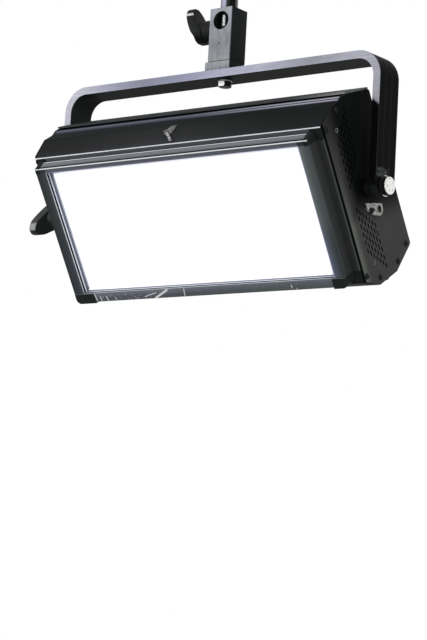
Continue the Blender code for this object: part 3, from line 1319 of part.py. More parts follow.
def latch_screw_hole():
    radius = LATCH_SCREW_SHANK + HOLE_CLEARANCE
    return rod(radius, -2 * THROUGH, 2 * THROUGH, "Z", steps=SCREW_STEPS)


def latch(tilt, home):
    """A small plate on the slope, the arm that turns on it and the screw through both."""
    low = GAP
    plate_top = low + LATCH_SHEET
    border = LATCH_PLATE_BORDER
    right = LATCH_PLATE_LENGTH - border
    rear = LATCH_PLATE_WIDTH - border
    corners = [(-border, -border), (right - border, -border), (right, rear), (border, rear)]
    corners.append((-border, border))
    plate = add("latch_plate", on_slope(prism([corners], low, plate_top, "Z")), "zinc", tilt)
    cut(plate, "screw_hole", on_slope(latch_screw_hole()))

    arm_low = plate_top + GAP
    arm_top = arm_low + LATCH_SHEET
    half = LATCH_ARM_WIDTH / 2
    side = [
        (half, arm_low),
        (-LATCH_ARM_LENGTH, arm_low),
        (-LATCH_ARM_LENGTH - LATCH_SHEET, arm_low + LATCH_TAB_LENGTH),
        (-LATCH_ARM_LENGTH, arm_low + LATCH_TAB_LENGTH),
        (-LATCH_ARM_LENGTH + LATCH_SHEET, arm_top),
        (half, arm_top),
    ]
    arm = add("latch_arm", prism([side], -half, half, "X"), "zinc", home)
    cut(arm, "screw_hole", latch_screw_hole())
    head_low = arm_top + GAP
    profile = [
        (0, -THROUGH),
        (LATCH_SCREW_SHANK, -THROUGH),
        (LATCH_SCREW_SHANK, head_low),
        (LATCH_SCREW_RADIUS, head_low),
        (LATCH_SCREW_CROWN_RADIUS, head_low + LATCH_SCREW_HEAD),
        (0, head_low + LATCH_SCREW_HEAD),
    ]
    add("latch_screw", on_slope(turned(profile, "Z", steps=SMALL_STEPS)), "zinc", tilt, smooth=True)


def build():
    clear_scene()
    pan = axis_empty("pan_axis", (0, 0, 0))
    clamp = axis_empty("spigot_lever_axis", (-BLOCK_WIDTH / 2, 0, CLAMP_HEIGHT), pan)
    lever_seat = ARM_OUTER + GAP + PIVOT_WASHER_THICKNESS
    tilt_clamp = axis_empty("tilt_lever_axis", (-lever_seat, 0, PIVOT_HEIGHT), pan, (TILT_LEVER_TURN, 0, 0))
    tilt = axis_empty("tilt_axis", (0, 0, PIVOT_HEIGHT), pan, (TILT, 0, 0))
    rear = COVER_INNER - GAP
    fan_axes = {
        "left": axis_empty("left_fan_axis", (-FAN_OFFSET, rear, FAN_HEIGHT), tilt),
        "right": axis_empty("right_fan_axis", (FAN_OFFSET, rear, FAN_HEIGHT), tilt),
    }
    knob = axis_empty("dimmer_axis", (SWITCH_X, HOUSING_REAR, KNOB_HEIGHT), tilt)
    switch = axis_empty("switch_axis", (SWITCH_X, HOUSING_REAR + GAP + SWITCH_FRAME, SWITCH_HEIGHT), tilt)
    latch_home = axis_empty("latch_axis", latch_origin(), tilt, (slope_pitch(), 0, 0))
    latch_arm_home = axis_empty("latch_arm_axis", (0, 0, 0), latch_home, (0, 0, LATCH_TURN))

    hanging_spigot()
    spigot_block(pan)
    block_foot(pan)
    yoke_bolt(pan)
    yoke(pan)
    clamping_lever("spigot_lever", clamp, BLOCK_WIDTH / 2 - PIN_RADIUS - HOLE_CLEARANCE - GAP)
    clamping_lever("tilt_lever", tilt_clamp, lever_seat - SIDE_INNER + PIVOT_FLANGE_THICKNESS)
    tilt_pivots(pan, tilt)

    side_plates(tilt)
    for name, place in PLATE_SCREWS.items():
        button_screw(f"{name}_plate_screw", tilt, HOUSING_HALF_WIDTH + GAP, place, SCREW_LENGTH)
    top_shell(tilt)
    bottom_shell(tilt)
    rear_cover(tilt)
    front_rails(tilt)
    corner_blocks(tilt)
    diffuser(tilt)
    mixing_chamber(tilt)
    heat_sink(tilt)
    for side, sign in (("left", -1), ("right", 1)):
        fan_frame(side, sign, tilt)
        fan_rotor(side, fan_axes[side])
    power_supply(tilt)
    control_board(tilt)
    data_socket("data_socket_in", SOCKET_IN_HEIGHT, tilt)
    data_socket("data_socket_out", SOCKET_OUT_HEIGHT, tilt)
    power_inlet(tilt)
    power_switch(switch, tilt)
    dimmer_knob(knob)
    safety_eye(tilt)
    latch(tilt, latch_arm_home)


build()
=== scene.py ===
# %% [markdown]
# # A hanging LED soft light
#
# A shallow black housing with a glowing front panel tilts between the arms of a bent bar, the
# yoke. A square block on the yoke turns on a pin that a clamp holds. The solids come from the
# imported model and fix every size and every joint. This lesson models the visible pieces over
# them with softer edges and finer detail, and gives each one a procedural finish.

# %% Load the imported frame
import math

import bpy
from mathutils import Matrix, Vector


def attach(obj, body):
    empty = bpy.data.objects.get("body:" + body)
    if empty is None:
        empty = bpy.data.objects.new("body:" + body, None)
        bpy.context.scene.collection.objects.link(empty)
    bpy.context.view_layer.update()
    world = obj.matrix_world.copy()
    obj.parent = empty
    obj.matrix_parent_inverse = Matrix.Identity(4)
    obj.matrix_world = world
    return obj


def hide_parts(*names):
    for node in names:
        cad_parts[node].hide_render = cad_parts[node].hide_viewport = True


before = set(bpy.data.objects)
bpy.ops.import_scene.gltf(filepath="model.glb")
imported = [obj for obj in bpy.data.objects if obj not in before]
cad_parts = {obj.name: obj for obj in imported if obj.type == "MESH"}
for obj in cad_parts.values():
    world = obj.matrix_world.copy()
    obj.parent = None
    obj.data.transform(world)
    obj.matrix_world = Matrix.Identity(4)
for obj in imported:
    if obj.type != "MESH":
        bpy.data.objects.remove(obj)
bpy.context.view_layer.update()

# %% [markdown]
# ## Places that the pieces share
#
# The housing is easiest to draw level, with its tilt axis at the origin: X runs along the yoke, Y
# from the glowing front to the rear and Z up. `tilt_forward` then turns a finished piece about
# the axis and lowers it to its real place. What belongs to the yoke is drawn where it hangs.

# %% Tilt axis and main sizes, in metres
PIVOT = Vector((0.0, 0.0, -0.394))
TILT = math.radians(32.23)
YOKE_TOP, ARM_OUTER, BEND = -0.184, 0.315, 0.0425
BAR, BAR_DEPTH = 0.0127, 0.0525
BLOCK_SIDE, BLOCK_HALF_DEPTH = 0.02225, 0.020
BLOCK_TOP, BLOCK_BOTTOM, CLAMP_Z = -0.080, -0.1677, -0.1123
PLATE_OUTER, PLATE_INNER = 0.2845, 0.2815
FRAME_FRONT, HOUSING_FRONT, FRONT_EDGE = -0.0977, -0.0748, 0.1266
PIVOT_HOLE, BOLT_HOLE, GAP = 0.0083, 0.0063, 0.0003
print("tilt axis at", tuple(PIVOT), "tilted", round(math.degrees(TILT), 1), "degrees")

# %% [markdown]
# ## Drawing with one vertex
#
# Sheet metal and extrusions have one outline all along. A plane is merged to a single vertex, the
# vertex is extruded from corner to corner, and the closed line is filled and extruded to its
# length. It is the quickest way to an exact profile without typing a mesh by hand.

# %% Outline and solid
def select_only(*pieces):
    """Leave edit mode and select these pieces alone, with the first of them active."""
    if bpy.context.object and bpy.context.object.mode != "OBJECT":
        bpy.ops.object.mode_set(mode="OBJECT")
    bpy.ops.object.select_all(action="DESELECT")
    for piece in reversed(pieces):
        piece.select_set(True)
        bpy.context.view_layer.objects.active = piece


def draw_line(name, corners):
    """A chain of edges through the corners, left in edit mode with all of it selected."""
    select_only()
    bpy.ops.mesh.primitive_plane_add(size=0.001, location=corners[0])
    piece = bpy.context.object
    piece.name = name
    bpy.ops.object.mode_set(mode="EDIT")
    bpy.ops.mesh.merge(type="CENTER")
    for here, there in zip(corners, corners[1:]):
        step = Vector(there) - Vector(here)
        bpy.ops.mesh.extrude_region_move(TRANSFORM_OT_translate={"value": step})
    bpy.ops.mesh.select_all(action="SELECT")
    return piece


def settle_mesh(piece):
    """Leave edit mode with normals outwards and the object's place moved into its mesh."""
    bpy.ops.mesh.select_all(action="SELECT")
    bpy.ops.mesh.normals_make_consistent(inside=False)
    bpy.ops.object.mode_set(mode="OBJECT")
    bpy.ops.object.transform_apply(location=True, rotation=True, scale=True)
    return piece


def extrude_outline(name, corners, depth):
    piece = draw_line(name, corners)
    bpy.ops.mesh.edge_face_add()
    bpy.ops.mesh.extrude_region_move(TRANSFORM_OT_translate={"value": depth})
    return settle_mesh(piece)


def spin_profile(name, profile, axis, centre=(0.0, 0.0, 0.0), steps=48):
    """Turn (radius, along) points about an axis, "X", "Y" or "Z", through the centre."""
    along = {"X": Vector((1, 0, 0)), "Y": Vector((0, 1, 0)), "Z": Vector((0, 0, 1))}[axis]
    outwards = Vector((0, 0, 1)) if axis != "Z" else Vector((1, 0, 0))
    middle = Vector(centre)
    piece = draw_line(name, [middle + outwards * r + along * a for r, a in profile])
    bpy.ops.mesh.spin(steps=steps, angle=math.tau, center=middle, axis=along)
    bpy.ops.mesh.select_all(action="SELECT")
    bpy.ops.mesh.remove_doubles(threshold=1e-6)
    return settle_mesh(piece)


# %% Boolean, bevel and shading
def apply_modifiers(piece):
    select_only(piece)
    for modifier in list(piece.modifiers):
        bpy.ops.object.modifier_apply(modifier=modifier.name)
    return piece


def carve(piece, tool, operation="DIFFERENCE"):
    boolean = piece.modifiers.new("carve", "BOOLEAN")
    boolean.operation = operation
    boolean.solver = "EXACT"
    boolean.object = tool
    apply_modifiers(piece)
    bpy.data.objects.remove(tool)
    return piece


def round_edges(piece, width, segments=2, angle=40, edge_slot=-1):
    """Bevel every edge sharper than the angle. The new strips can take a slot of their own."""
    bevel = piece.modifiers.new("edges", "BEVEL")
    bevel.width = width
    bevel.segments = segments
    bevel.limit_method = "ANGLE"
    bevel.angle_limit = math.radians(angle)
    bevel.use_clamp_overlap = True
    bevel.material = edge_slot
    return smooth(apply_modifiers(piece))


def smooth(piece, angle=35):
    select_only(piece)
    bpy.ops.object.shade_smooth_by_angle(angle=math.radians(angle))
    return piece


def copy_piece(piece, name, offset=(0, 0, 0)):
    twin = piece.copy()
    twin.data = piece.data.copy()
    twin.name = name
    bpy.context.scene.collection.objects.link(twin)
    twin.data.transform(Matrix.Translation(offset))
    return twin


def mirror_piece(piece, name):
    """A copy on the other side of the middle, with its faces turned the right way again."""
    twin = copy_piece(piece, name)
    twin.data.transform(Matrix.Scale(-1, 4, (1, 0, 0)))
    twin.data.flip_normals()
    return twin


def tilt_forward(piece):
    piece.data.transform(Matrix.Translation(PIVOT) @ Matrix.Rotation(TILT, 4, "X"))
    return piece


def join_pieces(name, pieces):
    select_only(*pieces)
    bpy.ops.object.join()
    pieces[0].name = name
    return pieces[0]


def seat(piece, body, finishes, nodes=()):
    """Give a finished piece its finishes, its body, and the solids that it stands for."""
    wanted = finishes if isinstance(finishes, (list, tuple)) else [finishes]
    for index, finish in enumerate(wanted):
        if index < len(piece.data.materials):
            piece.data.materials[index] = finish
        else:
            piece.data.materials.append(finish)
    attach(piece, body)
    if nodes:
        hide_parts(*nodes)
    print(f"{piece.name}: {len(piece.data.polygons)} faces on {body}")
    return piece


def seat_tilted(piece, finishes, nodes=(), body="housing"):
    """Seat a piece that was drawn level, once it is tilted with the housing."""
    return seat(tilt_forward(piece), body, finishes, nodes)


def arc_points(centre, radius, start, end, steps):
    """Points (a, b) on a round stretch, angles in degrees."""
    angles = [math.radians(start + (end - start) * k / steps) for k in range(steps + 1)]
    return [(centre[0] + radius * math.cos(t), centre[1] + radius * math.sin(t)) for t in angles]


def hexagon(radius):
    return arc_points((0.0, 0.0), radius, 0, 300, 5)


def ring_profile(inner, outer, low, high, edge):
    """The closed section of a ring with its outer edges broken, as (radius, along) points."""
    step = edge if high > low else -edge
    rim = [(outer - edge, low), (outer, low + step), (outer, high - step), (outer - edge, high)]
    return [(inner, low), *rim, (inner, high), (inner, low)]


def rod_tool(radius, axis, low, high, centre=(0, 0, 0), steps=48):
    return spin_profile("tool", [(0, low), (radius, low), (radius, high), (0, high)], axis, centre, steps)


print("helpers ready")

# %% [markdown]
# ## Writing a finish as a sum
#
# A material's nodes are easier to read as arithmetic. `Wire` holds one output socket, and its
# operators add Math nodes, so `1 - mask` is a Subtract node. `Finish` makes every other node with
# one method and joins the result to a Principled shader at the end.

# %% Shader arithmetic
class Wire:
    def __init__(self, finish, socket):
        self.finish = finish
        self.socket = socket

    def math(self, operation, first, second):
        return self.finish.node("ShaderNodeMath", {"operation": operation}, {0: first, 1: second})

    def __add__(self, other):
        return self.math("ADD", self, other)

    def __sub__(self, other):
        return self.math("SUBTRACT", self, other)

    def __rsub__(self, other):
        return self.math("SUBTRACT", other, self)

    def __mul__(self, other):
        return self.math("MULTIPLY", self, other)

    def __pow__(self, other):
        return self.math("POWER", self, other)

    def __abs__(self):
        return self.math("ABSOLUTE", self, 0.0)

    __radd__ = __add__
    __rmul__ = __mul__

    def most(self, other):
        return self.math("MAXIMUM", self, other)

    def least(self, other):
        return self.math("MINIMUM", self, other)

    def rise(self, low, high):
        """0 below low and 1 above high, with a soft step between them."""
        settings = {"interpolation_type": "SMOOTHSTEP"}
        return self.finish.node("ShaderNodeMapRange", settings, {0: self, 1: low, 2: high})

    def band(self, low, high, soft):
        """1 between low and high, and 0 outside them."""
        return self.rise(low - soft, low + soft) * (1 - self.rise(high - soft, high + soft))


def distance(wires, point):
    """How far the two coordinates lie from a point."""
    across, up = wires[0] - point[0], wires[1] - point[1]
    return (across * across + up * up) ** 0.5


def tone(red, green, blue):
    """A colour as a paint card gives it, 0 to 255, turned into the linear numbers of a shader."""
    shares = [value / 255 for value in (red, green, blue)]
    linear = [s / 12.92 if s <= 0.04045 else ((s + 0.055) / 1.055) ** 2.4 for s in shares]
    return (*linear, 1.0)


class Finish:
    def __init__(self, name):
        self.material = bpy.data.materials.new(name)
        self.material.use_nodes = True
        self.nodes = self.material.node_tree.nodes
        self.links = self.material.node_tree.links
        self.shader = self.nodes["Principled BSDF"]
        self.coordinates = self.nodes.new("ShaderNodeTexCoord")

    def node(self, kind, settings=None, inputs=None, output=0):
        made = self.nodes.new(kind)
        for name, value in (settings or {}).items():
            if name == "stops":
                self.set_stops(made.color_ramp, value)
            else:
                setattr(made, name, value)
        for name, value in (inputs or {}).items():
            self.feed(made.inputs[name], value)
        return Wire(self, made.outputs[output])

    def set_stops(self, ramp, stops):
        """Stops run from 0 to 1, so the ramp's own two ends take the first and the last."""
        for element, (_, colour) in zip(ramp.elements, (stops[0], stops[-1])):
            element.color = colour
        for place, colour in stops[1:-1]:
            ramp.elements.new(place).color = colour

    def feed(self, socket, value):
        """Link a wire, or set a number, a vector or a colour as a paint card gives it."""
        if isinstance(value, Wire):
            self.links.new(value.socket, socket)
        else:
            socket.default_value = tone(*value) if socket.type == "RGBA" else value

    def mapped(self, source, **inputs):
        return self.node("ShaderNodeMapping", {"vector_type": "POINT"}, {"Vector": source, **inputs})

    def place(self, scale=(1, 1, 1), level=False):
        """Object coordinates in metres. With level, in the housing's own untilted frame."""
        source = Wire(self, self.coordinates.outputs["Object"])
        if level:
            turned = Matrix.Rotation(-TILT, 3, "X") @ -PIVOT
            source = self.mapped(source, Location=turned, Rotation=(-TILT, 0, 0))
        return source if tuple(scale) == (1, 1, 1) else self.mapped(source, Scale=scale)

    def axes(self, level=False):
        """The coordinates as three wires."""
        return self.parts(self.place(level=level))

    def facing(self, level=False):
        """The surface's direction in the object's frame, as a vector."""
        source = Wire(self, self.coordinates.outputs["Normal"])
        return self.mapped(source, Rotation=(-TILT, 0, 0)) if level else source

    def towards_front(self, low, high, level=False):
        """0 on faces turned away from the front, 1 on those that face -Y."""
        return (0 - self.parts(self.facing(level))[1]).rise(low, high)

    def parts(self, vector):
        return [self.node("ShaderNodeSeparateXYZ", None, {0: vector}, n) for n in range(3)]

    def noise(self, scale, detail=4.0, rough=0.55, where=None):
        inputs = {"Vector": where or self.place(), "Scale": scale, "Detail": detail, "Roughness": rough}
        return self.node("ShaderNodeTexNoise", None, inputs)

    def leather(self, scale):
        inputs = {"Vector": self.place(), "Scale": scale}
        return self.node("ShaderNodeTexVoronoi", {"feature": "F1"}, inputs)

    def mix(self, share, first, second):
        settings = {"data_type": "RGBA", "clamp_factor": True}
        return self.node("ShaderNodeMix", settings, {0: share, 6: first, 7: second}, 2)

    def along(self, value, *stops):
        """A colour that changes along a length, from stops of (metres, colour)."""
        first, last = stops[0][0], stops[-1][0]
        share = self.node("ShaderNodeMapRange", None, {0: value, 1: first, 2: last})
        shares = [((place - first) / (last - first), tone(*colour)) for place, colour in stops]
        return self.node("ShaderNodeValToRGB", {"stops": shares}, {0: share})

    def scaled(self, colour, factor):
        """The colour, darker below a factor of 1 and lighter above it."""
        return self.node("ShaderNodeVectorMath", {"operation": "SCALE"}, {0: colour, 3: factor})

    def bump(self, height, distance, strength=1.0):
        inputs = {"Height": height, "Distance": distance, "Strength": strength}
        return self.node("ShaderNodeBump", None, inputs)

    def grained(self, colour, pattern, rough, metal, grain, shine):
        """Done with a (lowest, added) roughness and a (height, strength) grain from one pattern."""
        bump = self.bump(pattern, *grain)
        return self.done(colour, rough[0] + rough[1] * pattern, metal, bump, Specular_IOR_Level=shine)

    def done(self, colour, rough=0.5, metal=0.0, bump=None, **constants):
        for name, value in (("Base Color", colour), ("Roughness", rough), ("Metallic", metal)):
            self.feed(self.shader.inputs[name], value)
        if bump is not None:
            self.feed(self.shader.inputs["Normal"], bump)
        for name, value in constants.items():
            self.feed(self.shader.inputs[name.replace("_", " ")], value)
        return self.material


print("finish helper ready")

# %% [markdown]
# ## Black satin paint
#
# The housing is powder coated: nearly black, slightly green, with a fine orange-peel grain. Its
# tone isn't the same all over: each finish paints light and shade into its tones by places in the
# housing's own level frame, and noise breaks them up. The specular level stays low: at its default
# a black surface mirrors the white room and turns grey.

# %% Powder coat
def powder_coat(paint, colour, rough=0.5, spread=0.16):
    """Finish a paint: its colour made uneven by broad and fine noise, and its grain."""
    level = paint.place(level=True)
    cloudy = paint.noise(11.0, 5.0, 0.6, level)
    fine = paint.noise(900.0, 3.0, 0.6, level)
    uneven = (1 - spread) + 2 * spread * (cloudy * 0.7 + fine * 0.3)
    bump = paint.bump(fine, 0.00006, 0.6)
    return paint.done(paint.scaled(colour, uneven), rough + 0.08 * cloudy, 0.0, bump, Specular_IOR_Level=0.02)


def housing_paint(name, dark, light, rough=0.5):
    """Powder coat of one tone, for the faces that show no pattern of their own."""
    paint = Finish(name)
    streaks = paint.noise(70.0, 6.0, 0.7, paint.place((1, 1, 9), level=True))
    return powder_coat(paint, paint.mix(streaks, dark, light), rough)


shell_paint = housing_paint("shell_paint", (24, 27, 26), (42, 45, 44))
# Paler paint for the plates' bevelled edge strips: a painted highlight line.
edge_highlight = housing_paint("edge_highlight", (30, 33, 32), (52, 56, 54), 0.4)


def corner_finish():
    """Moulded blocks. The front rails' painted highlight lines run on over them, fainter low down."""
    paint = Finish("corner_plastic")
    _, y, z = paint.axes(level=True)
    forward = paint.towards_front(0.6, 0.9, level=True) * (1 - y.rise(-0.0960, -0.0940))
    cloudy = paint.noise(60.0, 5.0)
    colour = paint.mix(cloudy, (22, 26, 25), (36, 41, 40))
    colour = paint.mix(forward * z.band(0.1133, 0.1152, 0.0002), colour, (206, 209, 212))
    colour = paint.mix(forward * z.band(-0.1074, -0.1055, 0.0003), colour, (84, 89, 91))
    return powder_coat(paint, colour, 0.44)


corner_plastic = corner_finish()
print("plain paints:", shell_paint.name, edge_highlight.name, corner_plastic.name)

# %% [markdown]
# ## Roof tones
#
# On the roof the tone follows the bends of the sheet as painted light and shade: dark at the crest,
# lighter down the slope, painted highlights on the folded lip and on the ribs, strongest towards the
# right end. A colour ramp over the depth gives the bands, and a second one takes over towards it.

# %% Roof sheet and rear cover
def roof_finish():
    paint = Finish("roof_paint")
    x, y, _ = paint.axes(level=True)
    left_slope = [
        (-0.0748, (57, 58, 63)), (-0.070, (49, 51, 54)), (-0.060, (44, 44, 45)), (-0.043, (36, 39, 39)),
        (-0.0366, (24, 28, 27)), (-0.036, (23, 27, 29)), (-0.0156, (23, 26, 29)),
    ]
    right_slope = [
        (-0.0748, (36, 40, 45)), (-0.070, (33, 36, 36)), (-0.050, (28, 30, 29)), (-0.0366, (21, 23, 23)),
        (-0.036, (21, 22, 24)), (-0.0156, (24, 25, 28)),
    ]
    # The rib tones carry painted highlights on the raised ribs, stronger in the second set.
    soft_ribs = [
        (-0.0151, (25, 28, 31)), (-0.0124, (30, 33, 40)), (-0.0110, (60, 65, 78)), (-0.0085, (80, 84, 98)),
        (-0.0062, (92, 96, 110)), (-0.0054, (108, 112, 125)), (-0.0049, (30, 32, 39)),
    ]
    bright_ribs = [
        (-0.0151, (40, 40, 45)), (-0.0122, (34, 35, 43)), (-0.0112, (158, 158, 172)),
        (-0.0092, (158, 158, 172)), (-0.0085, (62, 62, 74)), (-0.0066, (62, 62, 74)),
        (-0.0058, (166, 166, 177)), (-0.0046, (166, 166, 177)), (-0.0040, (24, 25, 32)),
    ]
    groove = [(-0.0034, (19, 23, 29)), (0.015, (19, 23, 29))]
    soft = paint.along(y, *left_slope, *soft_ribs, *groove)
    bright = paint.along(y, *right_slope, *bright_ribs, *groove)
    ribs = paint.mix(x.rise(-0.04, 0.24), soft, bright)
    dim = 1 - 0.48 * (1 - x.rise(-0.26, -0.02)) * (1 - y.rise(-0.0165, -0.0150))
    # A painted highlight on the front face of the folded lip.
    lip = paint.towards_front(0.7, 0.95, level=True) * (1 - y.rise(-0.0746, -0.0742))
    return powder_coat(paint, paint.mix(lip, paint.scaled(ribs, dim), (226, 228, 233)))


def rear_finish():
    paint = Finish("rear_paint")
    x, y, z = paint.axes(level=True)
    soft = paint.along(
        y, (0.0045, (72, 75, 78)), (0.0068, (68, 71, 74)), (0.0100, (28, 31, 33)), (0.040, (34, 36, 38)),
        (0.066, (44, 46, 48)), (0.0692, (96, 98, 100)), (0.0700, (96, 98, 100)), (0.0710, (34, 36, 36)),
    )
    bright = paint.along(
        y, (0.0045, (150, 150, 153)), (0.0062, (120, 121, 123)), (0.009, (84, 86, 88)),
        (0.040, (92, 94, 97)), (0.066, (110, 112, 114)), (0.0692, (180, 180, 181)),
        (0.0700, (180, 180, 181)), (0.0710, (34, 36, 36)),
    )
    roof = paint.mix(x.rise(0.17, 0.285), soft, bright)
    rubbing_and_highlight = paint.noise(140.0, 5.0, 0.7, paint.place((0.5, 3, 1), level=True))
    roof = paint.scaled(roof, 0.75 + 0.5 * rubbing_and_highlight)
    return powder_coat(paint, paint.mix(z.rise(0.128, 0.131), (33, 36, 35), roof))


roof_paint = roof_finish()
rear_paint = rear_finish()
print("roof finishes:", roof_paint.name, rear_paint.name)

# %% [markdown]
# ## Rail tones
#
# The rails are extrusions, so every step of their profile runs on as a line. The raised lines carry
# painted highlights and the grooves painted shade. All four share the stepped inner face towards
# the panel, whose rearmost step is painted with the panel's own light.

# %% Rail paints
def on_front(y):
    """1 on the foremost faces of the frame."""
    return 1 - y.rise(FRAME_FRONT + 0.0001, FRAME_FRONT + 0.0004)


def reveal_tones(paint, depth, rear_lip_glow):
    """Tones of the stepped inner face, by depth: lip, groove, ridge, slant and rear step."""
    # Painted highlights on the lip and the ridge, painted shade in the groove, and painted panel light on the
    # rear step.
    return paint.along(
        depth, (FRAME_FRONT, (90, 94, 98)), (-0.0972, (90, 94, 98)), (-0.0970, (190, 195, 201)),
        (-0.0947, (190, 195, 201)), (-0.0945, (44, 48, 55)), (-0.0910, (44, 48, 55)),
        (-0.0906, (206, 210, 221)), (-0.0884, (206, 210, 221)), (-0.0878, (92, 97, 109)),
        (-0.0850, (88, 93, 105)), (-0.0812, (76, 82, 94)),
        (-0.0796, rear_lip_glow[0]), (-0.0776, rear_lip_glow[1]), (-0.0756, rear_lip_glow[2]),
    )


# Painted light from the glowing panel on the rear step: for the side rails, and for the top and bottom rails.
SIDE_LIP_GLOW = ((150, 154, 166), (190, 194, 205), (232, 234, 247))
LOW_LIP_GLOW = ((120, 121, 132), (150, 150, 162), (184, 184, 204))


def side_rail_finish(name, front_high, front_low, outer):
    """Front tones by X, outer tones by depth; the front differs between the upper and lower end."""
    paint = Finish(name)
    x, y, z = paint.axes(level=True)
    front = paint.mix(z.rise(-0.06, 0.0), paint.along(x, *front_low), paint.along(x, *front_high))
    inner = reveal_tones(paint, y, SIDE_LIP_GLOW)
    behind = paint.mix(1 - abs(x).rise(0.2585, 0.2590), paint.along(y, *outer), inner)
    behind = paint.mix(abs(x).rise(0.2794, 0.2800), behind, (70, 73, 72))
    return powder_coat(paint, paint.mix(on_front(y), behind, front))


# The side rails are one paint. Their different tones, and the pale window edge of the right one, are painted
# light and shade.
left_rail_paint = side_rail_finish(
    "left_rail_paint",
    [(-0.2685, (44, 48, 47)), (-0.262, (48, 53, 54)), (-0.255, (55, 59, 62)), (-0.2489, (64, 68, 72))],
    [(-0.2685, (46, 49, 51)), (-0.262, (53, 56, 60)), (-0.255, (58, 62, 67)), (-0.2489, (68, 74, 81))],
    [(FRAME_FRONT, (50, 56, 55)), (-0.0972, (50, 56, 55)), (-0.0968, (44, 49, 46)), (-0.0748, (48, 53, 50))],
)
right_rail_paint = side_rail_finish(
    "right_rail_paint",
    [(0.2489, (150, 151, 172)), (0.2500, (110, 113, 128)), (0.2515, (91, 98, 96)), (0.256, (80, 87, 86)),
     (0.262, (70, 77, 77)), (0.2685, (66, 71, 71))],
    [(0.2489, (150, 152, 174)), (0.2500, (108, 112, 130)), (0.2515, (83, 90, 104)), (0.256, (71, 78, 88)),
     (0.262, (60, 66, 71)), (0.2685, (46, 53, 53))],
    [(FRAME_FRONT, (74, 80, 79)), (-0.0972, (74, 80, 79)), (-0.0967, (62, 67, 67)), (-0.094, (52, 55, 55)),
     (-0.088, (48, 50, 49)), (-0.0760, (46, 48, 47)), (-0.0748, (44, 46, 45))],
)


def top_rail_finish():
    paint = Finish("top_rail_paint")
    x, y, z = paint.axes(level=True)
    _, _, face_z = paint.parts(paint.facing(level=True))
    # Painted highlights on the front lip, the ridge and the top and window edges, with painted shade in the
    # groove.
    upper = paint.along(
        y, (FRAME_FRONT, (214, 217, 220)), (-0.0962, (214, 217, 220)), (-0.0959, (40, 43, 47)),
        (-0.0938, (44, 47, 51)), (-0.0932, (84, 87, 91)), (-0.0905, (110, 114, 118)),
        (-0.0875, (124, 127, 133)), (-0.0850, (114, 118, 124)), (-0.0832, (98, 101, 108)),
        (-0.0829, (236, 237, 241)), (-0.0803, (236, 237, 241)), (-0.0800, (66, 69, 74)),
        (-0.0752, (62, 64, 69)), (HOUSING_FRONT, (73, 75, 81)),
    )
    front = paint.along(
        z, (0.1062, (140, 140, 160)), (0.1067, (126, 127, 147)), (0.1072, (95, 98, 110)),
        (0.1090, (84, 87, 96)),
        (0.1120, (78, 80, 88)), (0.1131, (78, 81, 86)), (0.1135, (214, 217, 220)), (0.1147, (226, 228, 231)),
    )
    inner = reveal_tones(paint, y, LOW_LIP_GLOW)
    behind = paint.mix((0 - face_z).rise(0.0, 0.3), upper, inner)
    ends = abs(x).rise(0.2480, 0.2492) * (1 - z.rise(0.1128, 0.1132))
    front = paint.scaled(front, 1 - 0.70 * ends)
    return powder_coat(paint, paint.mix(on_front(y), behind, front), spread=0.12)


top_rail_paint = top_rail_finish()
print("rail finishes:", left_rail_paint.name, right_rail_paint.name, top_rail_paint.name)

# %% [markdown]
# ## Scratched bottom rail
#
# The bottom rail is what gets set down on stage floors. Its face has long scratches, a broad scuff
# and many short nicks. A long scratch is a thin stripe around a straight line that ends at both
# ends, written as arithmetic on X and Z. The nicks are the peaks of a stretched noise.

# %% Scratched paint
def stroke(x, z, start, end, width):
    """1 on a thin line from start to end, (x, z) in metres, and 0 elsewhere."""
    run_x, run_z = end[0] - start[0], end[1] - start[1]
    length = math.hypot(run_x, run_z)
    run_x, run_z = run_x / length, run_z / length
    along = (x - start[0]) * run_x + (z - start[1]) * run_z
    beside = abs((x - start[0]) * run_z - (z - start[1]) * run_x)
    return (1 - beside.rise(width * 0.5, width)) * along.band(0.0, length, width)


# Start, end and width of each long scratch, as (x, z) on the rail's face
SCRATCHES = [
    ((-0.2271, -0.1066), (-0.2243, -0.1194), 0.0012), ((-0.2162, -0.1116), (-0.2143, -0.1207), 0.0010),
    ((-0.2037, -0.1123), (-0.2007, -0.1210), 0.0012), ((-0.1856, -0.1150), (-0.1834, -0.1204), 0.0008),
    ((-0.1035, -0.1213), (-0.0745, -0.1079), 0.0022), ((-0.1240, -0.1180), (-0.1135, -0.1150), 0.0009),
    ((-0.1135, -0.1150), (-0.0985, -0.1122), 0.0008), ((-0.0414, -0.1076), (-0.0430, -0.1206), 0.0010),
    ((0.1660, -0.1128), (0.1668, -0.1185), 0.0009), ((0.1740, -0.1195), (0.1755, -0.1188), 0.0009),
]


def low_rail_finish():
    paint = Finish("low_rail_paint")
    x, y, z = paint.axes(level=True)
    left = paint.along(
        z, (-0.1215, (82, 86, 90)), (-0.1190, (72, 75, 79)), (-0.1150, (80, 83, 89)),
        (-0.1110, (90, 94, 102)), (-0.1080, (98, 102, 110)), (-0.1062, (106, 109, 118)),
    )
    right = paint.along(
        z, (-0.1215, (84, 88, 89)), (-0.1190, (76, 81, 81)), (-0.1150, (80, 86, 88)), (-0.1110, (84, 90, 95)),
        (-0.1080, (92, 98, 105)), (-0.1062, (108, 113, 121)),
    )
    front = paint.mix(x.rise(-0.05, 0.15), left, right)
    nicks = paint.noise(420.0, 3.0, 0.65, paint.place((1.0, 1.0, 0.35), level=True)).rise(0.60, 0.67)
    worn_end = 1 - 0.85 * x.rise(-0.17, -0.06)
    marks = nicks * worn_end * 0.8 * (1 - z.rise(-0.1120, -0.1085))
    for start, end, width in SCRATCHES:
        marks = marks.most(stroke(x, z, start, end, width))
    front = paint.mix(marks, front, (196, 200, 204))
    inner = reveal_tones(paint, y, LOW_LIP_GLOW)
    behind = paint.mix(z.rise(-0.1185, -0.1180), (38, 42, 42), inner)
    return powder_coat(paint, paint.mix(on_front(y), behind, front), spread=0.2)


low_rail_paint = low_rail_finish()
print("scratches on the bottom rail:", len(SCRATCHES))
